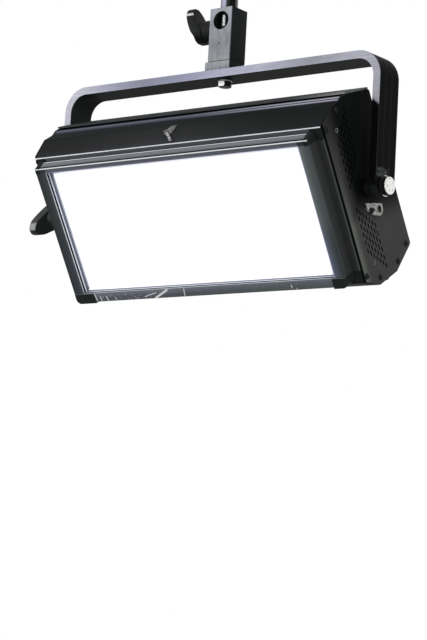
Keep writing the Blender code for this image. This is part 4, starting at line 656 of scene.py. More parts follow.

# %% [markdown]
# ## Plate paint with painted shade
#
# The plates are painted grey as lit low down and along their front edge, and nearly black above
# as painted shade. Two soft steps, one over the height and one over the depth, choose between the
# two tones.

# %% Plate paint
def plate_finish():
    paint = Finish("plate_paint")
    _, y, z = paint.axes(level=True)
    # Painted light low down and along the front edge, painted shade above, split by a slanted line.
    low = 1 - (z + 0.25 * y).rise(-0.060, -0.012)
    front_band = (1 - y.rise(-0.066, -0.030)) * (1 - 0.45 * z.rise(0.07, 0.13))
    painted_light_share = low.most(front_band * 0.8)
    clouds = paint.noise(16.0, 4.0, 0.6, paint.place(level=True))
    grey = paint.mix(clouds, (56, 57, 56), (68, 69, 67))
    # Paler still low at the front, as painted light.
    grey = paint.mix((1 - y.rise(-0.070, -0.052)) * (1 - z.rise(-0.04, 0.08)), grey, (94, 97, 93))
    black = paint.mix(clouds, (5, 7, 6), (12, 15, 14))
    outside = abs(paint.parts(paint.facing())[0]).rise(0.5, 0.9)
    return powder_coat(paint, paint.mix(painted_light_share * outside, black, grey), spread=0.08)


plate_paint = plate_finish()
print("plate finish:", plate_paint.name)

# %% [markdown]
# ## Bar and block
#
# The yoke and the block are black. Their front faces are painted a pale lavender grey as a painted
# reflection, and the sides are painted dark as shade. The facing direction chooses between the two,
# a ramp along the bar varies the pale tone, and stretched noise adds drawn lines and scuffs.

# %% Metal with painted reflections
def bar_finish():
    metal = Finish("bar_metal")
    x, y, z = metal.axes()
    face_x, _, face_z = metal.parts(metal.facing())
    pale = metal.along(
        x, (-0.3200, (190, 190, 202)), (-0.2800, (185, 185, 197)), (-0.2200, (160, 161, 180)),
        (-0.1500, (138, 139, 158)), (-0.0500, (152, 153, 175)), (0.0000, (172, 173, 194)),
        (0.0900, (176, 178, 196)), (0.1900, (150, 151, 160)), (0.2700, (172, 173, 186)),
        (0.3200, (158, 159, 168)),
    )
    drawn = metal.noise(30.0, 6.0, 0.7, metal.place((1, 1, 22)))
    spots = metal.noise(260.0, 4.0, 0.65)
    # A painted highlight along the lower edge of the bar's front face.
    lower_edge = abs(z - YOKE_TOP + BAR).rise(0.0006, 0.0022)
    streaks = 0.16 * drawn.rise(0.36, 0.64) + 0.10 * spots.rise(0.35, 0.65)
    pale = metal.scaled(pale, 0.86 + streaks + 0.16 * (1 - lower_edge))
    # Below a slanted line on the right arm, the front face lies in painted shadow.
    shadow_edge = (z + 0.262 + 0.8 * (x - 0.3028)).rise(-0.003, 0.003)
    front = metal.towards_front(0.80, 0.97) * shadow_edge.most(1 - x.rise(0.26, 0.27))
    front = front * (1 - y.rise(-0.0259, -0.0255))
    under = metal.mix(x.rise(-0.15, 0.20), (19, 22, 20), (30, 33, 30))
    inner = metal.mix(x.rise(-0.31, -0.27), (36, 39, 38), under)
    # Pale lines along the outer face's grooves and front edge are painted highlights on near-black.
    grooves = (1 - abs(abs(y) - 0.00875).rise(0.0011, 0.0019)).most(1 - y.rise(-0.0256, -0.0246))
    outer = metal.mix(grooves, (6, 7, 6), (44, 47, 44))
    patch = y.band(-0.0240, 0.0045, 0.001) * z.band(PIVOT.z + 0.012, PIVOT.z + 0.026, 0.001)
    outer = metal.mix(patch * spots.rise(0.40, 0.60), outer, (70, 73, 70))
    outwards = (face_x * (x * 100).most(-1).least(1)).rise(0.3, 0.8)
    dark = metal.mix(outwards.most(face_z.rise(0.3, 0.8)), inner, outer)
    # Front faces outside the pale part are painted near-black as shade.
    painted_shade_tones = metal.mix(metal.towards_front(0.8, 0.97), dark, (8, 10, 8))
    colour = metal.mix(front, painted_shade_tones, pale)
    return metal.grained(colour, spots, (0.42, 0.15), 0.0, (0.00006, 0.5), 0.02)


def block_finish():
    metal = Finish("block_metal")
    x, _, z = metal.axes()
    forward = metal.towards_front(0.80, 0.97)
    pale = metal.along(
        z, (YOKE_TOP, (140, 144, 148)), (-0.1690, (150, 153, 157)), (-0.1670, (146, 149, 152)),
        (-0.1400, (132, 135, 140)), (-0.1150, (142, 145, 151)), (BLOCK_TOP, (156, 158, 166)),
    )
    scuffs = metal.noise(95.0, 7.0, 0.72, metal.place((1, 1, 0.55)))
    drawn = metal.noise(330.0, 3.0, 0.6, metal.place((1, 1, 0.04)))
    dents = metal.noise(210.0, 2.0, 0.5).rise(0.66, 0.74)
    streaks = 0.30 * scuffs.rise(0.34, 0.62) + 0.22 * drawn.rise(0.3, 0.7)
    pale = metal.scaled(pale, 0.72 + streaks - 0.40 * dents)
    # A painted shade along the right edge of the front face.
    corner = x.rise(0.0200, 0.0218) * forward
    pale = metal.mix(corner, pale, (62, 66, 84))
    mark = 1 - (distance((x, z), (-0.0014, -0.1386)) ** 2).rise(0.000002, 0.000007)
    pale = metal.mix(mark * scuffs, pale, (70, 72, 74))
    dark = metal.mix(scuffs, (22, 25, 24), (36, 39, 39))
    # Front faces take the pale tone as a painted reflection, the rest is painted dark.
    colour = metal.mix(forward, dark, pale)
    return metal.grained(colour, scuffs, (0.46, 0.15), 0.0, (0.0001, 0.4), 0.02)


bar_metal = bar_finish()
block_metal = block_finish()
print("rubbed metals:", bar_metal.name, block_metal.name)

# %% [markdown]
# ## Bright parts
#
# Plated parts take their look from what they mirror, and a white room would make them plain white.
# Their tone is therefore painted by direction, as a painted reflection: pale where they face the
# front left, dark elsewhere, with brushed noise over it, and only part of it is metallic.

# %% Plated metal
def plated(name, stops, rough=0.3, metal_share=0.2, spread=0.3, scale=160.0, in_bore=0.0):
    """Painted reflections: tones by direction, from -1, away from the front left, to 1, towards it."""
    metal = Finish(name)
    _, _, z = metal.axes()
    face_x, face_y, _ = metal.parts(metal.facing())
    towards = face_x * -0.794 + face_y * -0.607
    brushed = metal.noise(scale, 5.0, 0.65, metal.place((1, 1, 4)))
    colour = metal.scaled(metal.along(towards, *stops), (1 - spread) + 2 * spread * brushed)
    # Inside the block's bore the pin is painted dark as shade, with a painted glint.
    if in_bore:
        glint = towards.band(0.40, 0.66, 0.05) * z.band(-0.1090, -0.0910, 0.0005)
        glint = glint * metal.noise(700.0, 2.0).rise(0.38, 0.50)
        shaded = metal.mix(glint, (8, 9, 9), (230, 232, 236))
        colour = metal.mix(z.rise(in_bore - 0.001, in_bore), shaded, colour)
    return metal.grained(colour, brushed, (rough, 0.1), metal_share, (0.00004, 0.4), 0.04)


def even_metal(name, low, high, rough=0.35, metal_share=0.3, scale=160.0, shine=0.3):
    metal = Finish(name)
    patches = metal.noise(scale, 5.0, 0.65)
    colour = metal.mix(patches.rise(0.35, 0.65), low, high)
    return metal.grained(colour, patches, (rough, 0.1), metal_share, (0.00005, 0.4), shine)


# The pin's pale and dark stripes are painted reflections.
pin_metal = plated("pin_steel", [
    (-1.0, (150, 152, 156)), (-0.88, (110, 112, 112)), (-0.74, (84, 87, 84)), (-0.64, (5, 6, 6)),
    (-0.20, (3, 4, 4)), (0.02, (38, 40, 38)), (0.30, (52, 54, 56)), (0.42, (150, 150, 166)),
    (0.60, (182, 182, 202)), (0.80, (160, 160, 180)), (1.0, (100, 101, 112)),
], 0.28, 0.0, 0.12, 60.0, -0.082)
# The bolt head's bright facet towards the front left is a painted highlight.
bolt_zinc = plated("bolt_zinc", [
    (-1.0, (34, 36, 36)), (0.45, (30, 32, 31)), (0.55, (244, 246, 246)), (1.0, (250, 250, 250)),
], 0.3, 0.1, 0.1)
zinc = even_metal("zinc_plate", (120, 122, 124), (196, 198, 204))
latch_steel = even_metal("latch_steel", (40, 42, 40), (118, 120, 117), 0.35, 0.1, 420.0)
hook_steel = even_metal("hook_steel", (66, 68, 65), (206, 207, 205), 0.35, 0.1, 300.0)
plain_aluminium = even_metal("plain_aluminium", (146, 148, 152), (188, 190, 194), 0.42, 0.6, 60.0, 0.5)


def eye_finish():
    """Bright plate with dark surroundings at its screw and around the hole of its lug."""
    metal = Finish("eye_steel")
    _, y, z = metal.axes(level=True)
    wear_and_painted_light = metal.noise(260.0, 5.0, 0.65)
    shade = distance((y, z), (0.0003, -0.0360)).band(0.0030, 0.0062, 0.0006) * wear_and_painted_light.rise(0.36, 0.48)
    shade = shade.most(1 - distance((y, z), (-0.0122, -0.0335)).rise(0.0046, 0.0060))
    shade = shade.most(1 - y.rise(-0.0230, -0.0195))
    plain = metal.mix(wear_and_painted_light.rise(0.35, 0.65), (112, 114, 110), (182, 183, 180))
    colour = metal.mix(shade, plain, (34, 36, 33))
    return metal.grained(colour, wear_and_painted_light, (0.4, 0.1), 0.1, (0.00006, 0.4), 0.2)


def cap_finish():
    """A pale disc. Its small holes are painted dark inside as shade."""
    metal = Finish("cap_aluminium")
    x, y, z = metal.axes()
    fine = metal.noise(300.0, 4.0)
    reach = distance((y, z), (0.0, PIVOT.z))
    hole = (1 - x.rise(0.32465, 0.32480)) * (1 - reach.rise(0.0122, 0.0126))
    disc = metal.mix(fine, (230, 233, 228), (250, 251, 249))
    colour = metal.mix(hole, disc, (40, 44, 42))
    return metal.grained(colour, fine, (0.45, 0.1), 0.05, (0.00004, 0.3), 0.2)


def washer_finish():
    """Painted shade between nut and arm, and painted highlights only towards the top and bottom of the rim.
    """
    metal = Finish("washer_steel")
    _, _, z = metal.axes()
    brushed = metal.noise(300.0, 4.0)
    rim = abs(z - PIVOT.z).rise(0.0146, 0.0154)
    flat = metal.mix(brushed, (18, 20, 19), (32, 34, 32))
    colour = metal.mix(rim, flat, (226, 228, 224))
    return metal.grained(colour, brushed, (0.35, 0.1), 0.1, (0.00004, 0.3), 0.1)


eye_steel, cap_metal, washer_steel = eye_finish(), cap_finish(), washer_finish()
print("bright metals:", pin_metal.name, bolt_zinc.name, eye_steel.name, washer_steel.name)

# %% [markdown]
# ## Black plastics
#
# Moulded grips have a leather grain, which a Voronoi pattern gives as bump. On the levers the flat
# edge towards the front is painted paler as light, with one painted highlight patch near the tip.

# %% Plastics
def grained_plastic(name, dark, light, rough, scale=500.0):
    plastic = Finish(name)
    cloudy = plastic.noise(25.0, 4.0)
    colour = plastic.mix(cloudy, dark, light)
    bump = plastic.bump(plastic.leather(scale), 0.00012, 0.5)
    return plastic.done(colour, rough + 0.1 * cloudy, 0.0, bump, Specular_IOR_Level=0.08)


screw_black = grained_plastic("screw_black", (12, 13, 13), (30, 31, 31), 0.36, 900.0)
black_plastic = grained_plastic("black_plastic", (13, 15, 14), (26, 28, 27), 0.45)


def lever_finish(name, body, edge, wear_and_painted_light, patch):
    """Body tone, a front-facing flat edge painted paler as light, and a painted highlight over a height."""
    plastic = Finish(name)
    _, _, z = plastic.axes()
    cloudy = plastic.noise(60.0, 5.0)
    pale = plastic.towards_front(0.75, 0.95)
    # A painted highlight patch on the front edge over a height.
    rubbing_and_highlight = pale * z.band(*wear_and_painted_light, 0.0008)
    colour = plastic.mix(pale, body, edge)
    colour = plastic.scaled(plastic.mix(rubbing_and_highlight, colour, patch), 0.8 + 0.4 * cloudy)
    bump = plastic.bump(plastic.leather(700.0), 0.00008, 0.4)
    return plastic.done(colour, 0.4 + 0.1 * cloudy, 0.0, bump, Specular_IOR_Level=0.04)


# The levers are one plastic; their different tones are painted light and shade.
block_lever_plastic = lever_finish(
    "block_lever_plastic", (19, 21, 20), (31, 33, 32), (-0.0836, -0.0790), (206, 207, 212)
)
tilt_lever_plastic = lever_finish(
    "tilt_lever_plastic", (42, 45, 43), (72, 74, 73), (-0.4230, -0.4110), (150, 152, 150)
)
print("plastics:", black_plastic.name, block_lever_plastic.name, tilt_lever_plastic.name)

# %% [markdown]
# ## Glowing panel
#
# The panel is opal acrylic lit from behind. It is so bright that the photograph shows plain white,
# and only the last millimetres at its rim fall off to a pale lavender.

# %% Diffuser and what lies behind it
def glow_panel():
    panel = Finish("glow_panel")
    x, _, z = panel.axes(level=True)
    rim = (x - 0.2305).most(z - 0.0971).most(-0.1090 - z)
    inside = 1 - rim.rise(-0.0014, 0.0006)
    colour = panel.mix(inside, (140, 140, 160), (255, 255, 255))
    return panel.done((235, 235, 235), 0.6, 0.0, None, Emission_Color=colour, Emission_Strength=0.9)


def plain_finish(name, low, high, rough):
    finish = Finish(name)
    cloudy = finish.noise(40.0, 4.0)
    return finish.done(finish.mix(cloudy, low, high), rough, 0.0, finish.bump(cloudy, 0.0001, 0.2))


opal = glow_panel()
white_paint = plain_finish("white_paint", (224, 224, 222), (242, 242, 240), 0.6)
board_green = plain_finish("board_green", (14, 74, 40), (30, 104, 58), 0.4)
print("panel finish:", opal.name)

# %% [markdown]
# ## Pin, block and foot
#
# The pin is a turned bar, so its half outline is spun about Z. The block is milled from square
# stock: a drawn square, extruded, then bored for the pin, the cross hole and the clamp stud.

# %% Hanging pin
pin_profile = [
    (0, 0), (0.0122, 0), (0.0135, -0.0006), (0.014, -0.0018), (0.014, -0.0300), (0.0135, -0.0306),
    (0.0125, -0.0316), (0.0125, -0.0364), (0.0135, -0.0374), (0.014, -0.0380), (0.014, -0.1345),
    (0.0125, -0.136), (0, -0.136),
]
hanging_pin = smooth(spin_profile("hanging_pin", pin_profile, "Z", steps=64), 25)
seat(hanging_pin, "spigot", pin_metal, ["hanging_spigot"])

# %% Square block with its bores
def box_piece(name, low, high):
    (left, front, bottom), (right, rear, top) = low, high
    corners = [(left, front, bottom), (right, front, bottom), (right, rear, bottom), (left, rear, bottom)]
    return extrude_outline(name, corners, (0, 0, top - bottom))


BORE_BOTTOM, CROSS_BORE_Z, FOOT_LEFT = -0.1363, -0.101, -0.028
block = box_piece(
    "square_block", (-BLOCK_SIDE, -BLOCK_HALF_DEPTH, BLOCK_BOTTOM), (BLOCK_SIDE, BLOCK_HALF_DEPTH, BLOCK_TOP)
)
carve(block, rod_tool(0.0143, "Z", BORE_BOTTOM, BLOCK_TOP + 0.01))
carve(block, rod_tool(0.015, "Y", -0.03, 0.03, (0, 0, CROSS_BORE_Z), 64))
carve(block, rod_tool(BOLT_HOLE, "X", -0.03, 0.0, (0, 0, CLAMP_Z), 32))
round_edges(block, 0.0007, 2, 40)
seat(block, "yoke", block_metal, ["spigot_block"])

foot_low = (FOOT_LEFT, -BLOCK_HALF_DEPTH, YOKE_TOP + GAP)
foot = box_piece("foot_plate", foot_low, (BLOCK_SIDE, BLOCK_HALF_DEPTH, BLOCK_BOTTOM - GAP))
round_edges(foot, 0.0011, 3)
seat(foot, "yoke", block_metal, ["block_foot"])

# %% [markdown]
# ## Bent yoke
#
# The yoke is one flat bar bent twice, with two shallow grooves along its outer face. The bar's
# section is drawn once, extruded up one arm, spun round both bends and run down the other arm.
# Another outline cuts the arms to round ends. The grooves and the holes are carved before the
# edges are bevelled, so that they get the same soft edge.

# %% Yoke bar
def bent_bar(name, section, end_z):
    """Sweep a section, drawn as (depth from the outer face, y), up, over the top and down."""
    draw_line(name, [(-ARM_OUTER + inwards, y, end_z) for inwards, y in section])
    bpy.ops.mesh.edge_face_add()
    rise = YOKE_TOP - BEND - end_z
    bpy.ops.mesh.extrude_region_move(TRANSFORM_OT_translate={"value": (0, 0, rise)})
    for side, straight in ((-1, (2 * (ARM_OUTER - BEND), 0, 0)), (1, (0, 0, -rise))):
        centre = (side * (ARM_OUTER - BEND), 0, YOKE_TOP - BEND)
        bpy.ops.mesh.spin(steps=14, angle=-math.pi / 2, center=centre, axis=(0, 1, 0))
        bpy.ops.mesh.extrude_region_move(TRANSFORM_OT_translate={"value": straight})
    return settle_mesh(bpy.context.object)


arm_end, half = PIVOT.z - 0.0165, BAR_DEPTH / 2
GROOVE_DEPTH, GROOVE_HALF_WIDTH = 0.0009, 0.0012
yoke_bar = bent_bar("yoke_bar", [(0, -half), (BAR, -half), (BAR, half), (0, half)], arm_end)
ends = arc_points((0.0, arm_end + half), half, 180, 360, 24)
ends += [(0.03, arm_end + 0.027), (0.03, -0.17), (-0.03, -0.17), (-0.03, arm_end + 0.027)]
carve(yoke_bar, extrude_outline("tool", [(-0.33, y, z) for y, z in ends], (0.66, 0, 0)), "INTERSECT")
for middle in (-BAR_DEPTH / 6, BAR_DEPTH / 6):
    near, far = middle - GROOVE_HALF_WIDTH, middle + GROOVE_HALF_WIDTH
    groove = [(-0.004, near), (GROOVE_DEPTH, near), (GROOVE_DEPTH, far), (-0.004, far)]
    carve(yoke_bar, bent_bar("tool", groove, YOKE_TOP - 0.18))
carve(yoke_bar, rod_tool(PIVOT_HOLE, "X", -0.33, 0.33, (0, 0, PIVOT.z)))
carve(yoke_bar, rod_tool(BOLT_HOLE, "Z", -0.21, -0.17))
round_edges(yoke_bar, 0.0009, 2, 40)
seat(yoke_bar, "yoke", bar_metal, ["yoke"])

# %% Bolt and washer under the bar
washer_top = YOKE_TOP - BAR - GAP
washer_low = washer_top - 0.0018
washer_profile = ring_profile(BOLT_HOLE, 0.0118, washer_top, washer_low, 0.0004)
seat(smooth(spin_profile("bolt_washer", washer_profile, "Z")), "yoke", zinc, ["yoke_washer"])

HEAD_FLATS, HEAD_HEIGHT, HEAD_CORNER = 0.020, 0.0085, 0.0135
head_top = washer_low - GAP
head_low = head_top - HEAD_HEIGHT
head_corners = [(x, y, head_top) for x, y in hexagon(HEAD_FLATS / math.sqrt(3))]
bolt = extrude_outline("hex_bolt", head_corners, (0, 0, -HEAD_HEIGHT))
above = head_top + 0.001
crown = [(0, head_low), (0.0094, head_low), (HEAD_CORNER, head_low + 0.0023)]
crown += [(HEAD_CORNER, above), (0, above)]
carve(bolt, spin_profile("tool", crown, "Z"), "INTERSECT")
carve(bolt, rod_tool(0.006, "Z", head_top - 0.001, YOKE_TOP + 0.030, steps=32), "UNION")
round_edges(bolt, 0.0004, 1, 25)
seat(bolt, "yoke", bolt_zinc, ["yoke_bolt"])

# %% [markdown]
# ## Clamping levers
#
# Each lever is a moulded paddle on a round hub. Its first section is drawn with one vertex. The
# face is then extruded upwards and resized about its middle, station by station, so the paddle
# swells over the hub, leans outwards and rounds off at the tip. Its edges are bevelled narrowly.

# %% Lever paddle and hub
HUB_RADIUS, HUB_LENGTH, HUB_CHAMFER = 0.0194, 0.034, 0.003
TIP_HEIGHT, TIP_ROUND = 0.0433, 0.0153
BASE_HALF_WIDTH, TIP_HALF_WIDTH = 0.0215, 0.0120
END_ANGLE = math.radians(75)
LEVER_STEPS = 8


def bowed(height, low, lean, bow):
    """How far a leaning, bowed face stands out at a height, where it starts to lean at low."""
    share = max(0.0, (height - low) / (TIP_HEIGHT - low))
    return lean * share + 4 * bow * share * (1 - share)


def paddle_stations():
    """(height, half width) of the paddle's sections, from the hub's underside to the tip."""
    round_from = TIP_HEIGHT - TIP_ROUND
    taper = (BASE_HALF_WIDTH - TIP_HALF_WIDTH) / TIP_HEIGHT
    stations = []
    for step in range(LEVER_STEPS):
        angle = math.pi / 2 - END_ANGLE * (1 - step / LEVER_STEPS)
        stations.append((-HUB_RADIUS * math.cos(angle), BASE_HALF_WIDTH * math.sin(angle)))
    for step in range(LEVER_STEPS):
        height = round_from * step / LEVER_STEPS
        stations.append((height, BASE_HALF_WIDTH - taper * height))
    for step in range(LEVER_STEPS + 1):
        angle = END_ANGLE * step / LEVER_STEPS
        height = round_from + TIP_ROUND * math.sin(angle)
        stations.append((height, (BASE_HALF_WIDTH - taper * height) * math.cos(angle)))
    return stations


def paddle_faces(height):
    """X of the paddle's outer and inner face at a height."""
    return -0.033 - bowed(height, -0.008, 0.0240, 0.0040), -0.018 - bowed(height, 0.0, 0.0255, 0.0028)


def lever_piece(name):
    stations = paddle_stations()
    low, half_width = stations[0]
    outer, inner = paddle_faces(low)
    section = [(outer, -half_width), (outer, half_width), (inner, half_width), (inner, -half_width)]
    paddle = draw_line(name, [(x, y, low) for x, y in section])
    bpy.ops.mesh.edge_face_add()
    for (low, narrow), (height, wide) in zip(stations, stations[1:]):
        was, now = paddle_faces(low), paddle_faces(height)
        middle = (sum(now) / 2, 0, height)
        move = (middle[0] - sum(was) / 2, 0, height - low)
        bpy.ops.mesh.extrude_region_move(TRANSFORM_OT_translate={"value": move})
        share = ((now[1] - now[0]) / (was[1] - was[0]), wide / narrow, 1)
        bpy.ops.transform.resize(value=share, center_override=middle)
    settle_mesh(paddle)
    round_edges(paddle, 0.0012, 3, 50)
    hub_profile = [(0, -GAP), (HUB_RADIUS, -GAP), (HUB_RADIUS, HUB_CHAMFER - HUB_LENGTH)]
    hub_profile += [(HUB_RADIUS - HUB_CHAMFER, -HUB_LENGTH), (0, -HUB_LENGTH)]
    carve(paddle, spin_profile("tool", hub_profile, "X", steps=64), "UNION")
    carve(paddle, rod_tool(BOLT_HOLE, "X", -0.0183, 0.01, steps=24))
    return smooth(paddle, 40)


spigot_lever = lever_piece("block_lever")
tilt_lever = copy_piece(spigot_lever, "pivot_lever")
spigot_lever.data.transform(Matrix.Translation((-BLOCK_SIDE, 0, CLAMP_Z)))
tilt_lever_place = Matrix.Translation((-0.3169, 0, PIVOT.z))
tilt_lever.data.transform(tilt_lever_place @ Matrix.Rotation(math.radians(137), 4, "X"))
seat(spigot_lever, "spigot_lever", block_lever_plastic, ["spigot_lever"])
seat(tilt_lever, "tilt_lever", tilt_lever_plastic, ["tilt_lever"])

# %% [markdown]
# ## Tilt pivots
#
# Everything at the pivots is turned, so each is a spun outline: spacers between plate and arm,
# bright washers, a black round nut and the pale cap with its ring of small holes.

# %% Spacers, washers, nut and cap
def pivot_ring(name, *profile):
    return smooth(spin_profile(name, ring_profile(*profile), "X", PIVOT))


for side, sign in (("left", -1), ("right", 1)):
    spacer = pivot_ring(f"{side}_spacer", PIVOT_HOLE, 0.0145, sign * 0.2848, sign * 0.302, 0.0008)
    seat(spacer, "yoke", black_plastic, [f"{side}_pivot_spacer"])
    hole = PIVOT_HOLE if sign > 0 else BOLT_HOLE
    disc = pivot_ring(f"{side}_washer", hole, 0.0163, sign * 0.3153, sign * 0.3169, 0.0004)
    seat(disc, "yoke", washer_steel, [f"{side}_pivot_washer"])

nut = pivot_ring("round_nut", PIVOT_HOLE, 0.0128, 0.3172, 0.3222, 0.0006)
seat(nut, "housing", screw_black, ["right_pivot_nut"])
CAP_BACK, CAP_FACE, CAP_RADIUS = 0.3225, 0.3249, 0.0135
cap_rim = [(0.0130, CAP_BACK), (CAP_RADIUS, 0.3229), (CAP_RADIUS, 0.3244), (0.0131, CAP_FACE)]
cap = spin_profile("end_cap", [(0, CAP_BACK), *cap_rim, (0, CAP_FACE)], "X", PIVOT)
# The cap's small holes: angle and distance from its middle
for turn, radius in ((104, 0.0104), (189, 0.0082), (256, 0.0081), (40, 0.0085), (318, 0.0085)):
    across, up = radius * math.cos(math.radians(turn)), radius * math.sin(math.radians(turn))
    carve(cap, rod_tool(0.0010, "X", 0.3241, 0.330, (0, PIVOT.y + across, PIVOT.z + up), 12))
seat(smooth(cap), "housing", cap_metal, ["right_pivot_cap"])

# %% [markdown]
# ## Side plates
#
# A side plate is 3 mm sheet, cut to the housing's outline and slotted. The slots are cut with one
# tool: a single slot is drawn, extruded and then duplicated in edit mode to all its places. The
# bevelled edge strip gets a paler paint, which draws a fine painted highlight along the sheet.

# %% Slotted plates
PLATE_OUTLINE = [
    (-0.0708, -FRONT_EDGE), (-0.0708, 0.12851), (-0.0365, 0.1449), (-0.0151, 0.1449),
    (-0.0038, 0.1493), (0.0050, 0.1493), (0.070, 0.1345), (0.073, 0.1315), (0.073, -0.120),
    (0.070, -0.123), (0.017, -0.1455), (-0.0365, -0.1455),
]
SLOT_COLUMNS, SLOT_ROWS = 7, 6
FIRST_SLOT, ROW_STEP, COLUMN_STEP = (-0.0446, -0.0195), -0.0133, (0.00625, -0.00655)


def slot_tool(low, high):
    half_length, half_width = 0.0042, 0.0015
    y, from_middle = FIRST_SLOT[0], half_length - half_width
    top = arc_points((y, from_middle), half_width, 0, 180, 5)
    low_end = arc_points((y, -from_middle), half_width, 180, 360, 5)
    tool = draw_line("tool", [(low, y, z) for y, z in top + low_end])
    bpy.ops.mesh.edge_face_add()
    bpy.ops.mesh.extrude_region_move(TRANSFORM_OT_translate={"value": (high - low, 0, 0)})
    bpy.ops.mesh.select_all(action="SELECT")
    bpy.ops.transform.translate(value=(0, 0, FIRST_SLOT[1]))
    for _ in range(SLOT_ROWS - 1):
        bpy.ops.mesh.duplicate_move(TRANSFORM_OT_translate={"value": (0, 0, ROW_STEP)})
    bpy.ops.mesh.select_all(action="SELECT")
    for _ in range(SLOT_COLUMNS - 1):
        bpy.ops.mesh.duplicate_move(TRANSFORM_OT_translate={"value": (0, *COLUMN_STEP)})
    settle_mesh(tool)
    twin = copy_piece(tool, "tool_twin")
    twin.data.transform(Matrix.Scale(-1, 4, (0, 0, 1)))
    twin.data.flip_normals()
    return join_pieces("tool", [tool, twin])


def side_plate(name, low, high):
    plate = extrude_outline(name, [(low, y, z) for y, z in PLATE_OUTLINE], (high - low, 0, 0))
    plate.data.materials.append(plate_paint)
    plate.data.materials.append(edge_highlight)
    round_edges(plate, 0.0004, 2, 45, 1)
    carve(plate, slot_tool(low - 0.01, high + 0.01))
    carve(plate, rod_tool(PIVOT_HOLE, "X", low - 0.01, high + 0.01))
    return smooth(plate)


right_plate = side_plate("right_plate", PLATE_INNER, PLATE_OUTER)
left_plate = mirror_piece(right_plate, "left_plate")
for piece, node in ((right_plate, "right_side_plate"), (left_plate, "left_side_plate")):
    seat_tilted(piece, [plate_paint, edge_highlight], [node])

# %% [markdown]
# ## Button-head screws
#
# One screw is modelled well and copied: the domed head is spun, and a six-sided socket is carved
# into it. Its copies hold the plates, the eye and the underside of the shell. The two flush screws
# with a pale ring are spun the same way.

# %% Screws on the plates
def button_screw(name):
    dome = [(0, 0), (0.0046, 0), (0.00475, 0.0003), (0.0045, 0.0011), (0.0039, 0.0018)]
    dome += [(0.0030, 0.0024), (0.0021, 0.0027), (0, 0.0027)]
    head = spin_profile(name, dome, "X", steps=32)
    socket = [(0.0010, y, z) for y, z in hexagon(0.0017)]
    carve(head, extrude_outline("tool", socket, (0.004, 0, 0)))
    return smooth(head, 30)


SCREW_PLACES = {
    "front_top": (-0.0665, 0.1178), "upper": (-0.0296, 0.1365), "front_bottom": (-0.0660, -0.1190),
    "lower_front": (-0.0315, -0.1348), "lower_middle": (0.0258, -0.1323), "lower_rear": (0.0600, -0.1170),
}
first_screw = button_screw("plate_screw")
for place_name, (y, z) in SCREW_PLACES.items():
    right_screw = copy_piece(first_screw, f"{place_name}_screw", (PLATE_OUTER + GAP, y, z))
    left_screw = mirror_piece(right_screw, f"left_{place_name}_screw")
    seat_tilted(right_screw, screw_black, [f"{place_name}_plate_screw"])
    seat_tilted(left_screw, screw_black)
EYE_SHEET, EYE_SCREW = 0.003, (-0.0140, -0.0325)
eye_screw = copy_piece(first_screw, "eye_screw", (PLATE_OUTER + 2 * GAP + EYE_SHEET, *EYE_SCREW))
seat_tilted(eye_screw, screw_black, ["safety_eye_screw"])

FLOOR_SLOPE, COVER_SCREW_X = math.atan2(0.0225, 0.053), 0.2785
COVER_SCREWS = {
    "rear": (0.0636, -0.1258, FLOOR_SLOPE), "middle": (0.0236, -0.1428, FLOOR_SLOPE),
    "front": (-0.0086, -0.1459, 0.0),
}
for label, (y, z, slope) in COVER_SCREWS.items():
    for side, x in (("left", -COVER_SCREW_X), ("right", COVER_SCREW_X)):
        screw = copy_piece(first_screw, f"{side}_{label}_cover_screw")
        screw.data.transform(Matrix.Rotation(slope, 4, "X") @ Matrix.Rotation(math.pi / 2, 4, "Y"))
        screw.data.transform(Matrix.Translation((x, y, z)))
        seat_tilted(screw, screw_black)
bpy.data.objects.remove(first_screw)

RING_PLACES = {"upper": (-0.0410, 0.1075), "lower": (-0.0376, -0.1079)}


def ring_finish():
    """A thin pale ring between a dark head and a dark rim, around whichever screw is near."""
    metal = Finish("ring_black")
    _, y, z = metal.axes(level=True)
    upper, lower = [distance((y, z), spot).band(0.0023, 0.0036, 0.0003) for spot in RING_PLACES.values()]
    brushed = metal.noise(400.0)
    colour = metal.mix(upper.most(lower), (10, 12, 11), (112, 115, 112))
    return metal.grained(colour, brushed, (0.4, 0.1), 0.0, (0.00004, 0.3), 0.05)


ring_black = ring_finish()
flush_head = [
    (0, 0.0), (0.0022, 0.0), (0.0026, 0.0005), (0.0032, 0.0006), (0.0038, 0.0004), (0.0041, 0.0),
    (0.0041, -0.002), (0, -0.002),
]
for label, spot in RING_PLACES.items():
    ring_screw = spin_profile(f"{label}_ring_screw", flush_head, "X", (PLATE_OUTER + 0.0002, *spot), 32)
    seat_tilted(smooth(ring_screw), ring_black)

# %% [markdown]
# ## Roof and rear
#
# The front half of the roof is one bent sheet with a raised, ribbed strip at its rear edge. The
# rear cover laps under it, and a dark groove runs between the two along the whole width.

# %% Top shell
TOP_OUTLINE = [
    (HOUSING_FRONT, FRONT_EDGE), (-0.0365, 0.1449), (-0.0151, 0.1449), (-0.0128, 0.1458), (-0.0128, 0.1452),
    (-0.0120, 0.1452), (-0.00945, 0.1471), (-0.00945, 0.1459), (-0.0083, 0.1461), (-0.0038, 0.1493),
    (-0.0035, 0.1493), (-0.0035, 0.1427), (0.0150, 0.1427), (0.0150, 0.1407), (-0.0058, 0.1407),
    (-0.0151, 0.1417), (-0.0365, 0.1429), (HOUSING_FRONT, FRONT_EDGE - 0.002),
]


def across_housing(name, half_length, outline):
    """An outline in Y and Z, extruded from left to right over the housing's middle."""
    corners = [(-half_length, y, z) for y, z in outline]
    return extrude_outline(name, corners, (2 * half_length, 0, 0))


top_shell = across_housing("top_sheet", PLATE_INNER - GAP, TOP_OUTLINE)
seat_tilted(round_edges(top_shell, 0.0003, 2, 40), roof_paint, ["top_shell"])

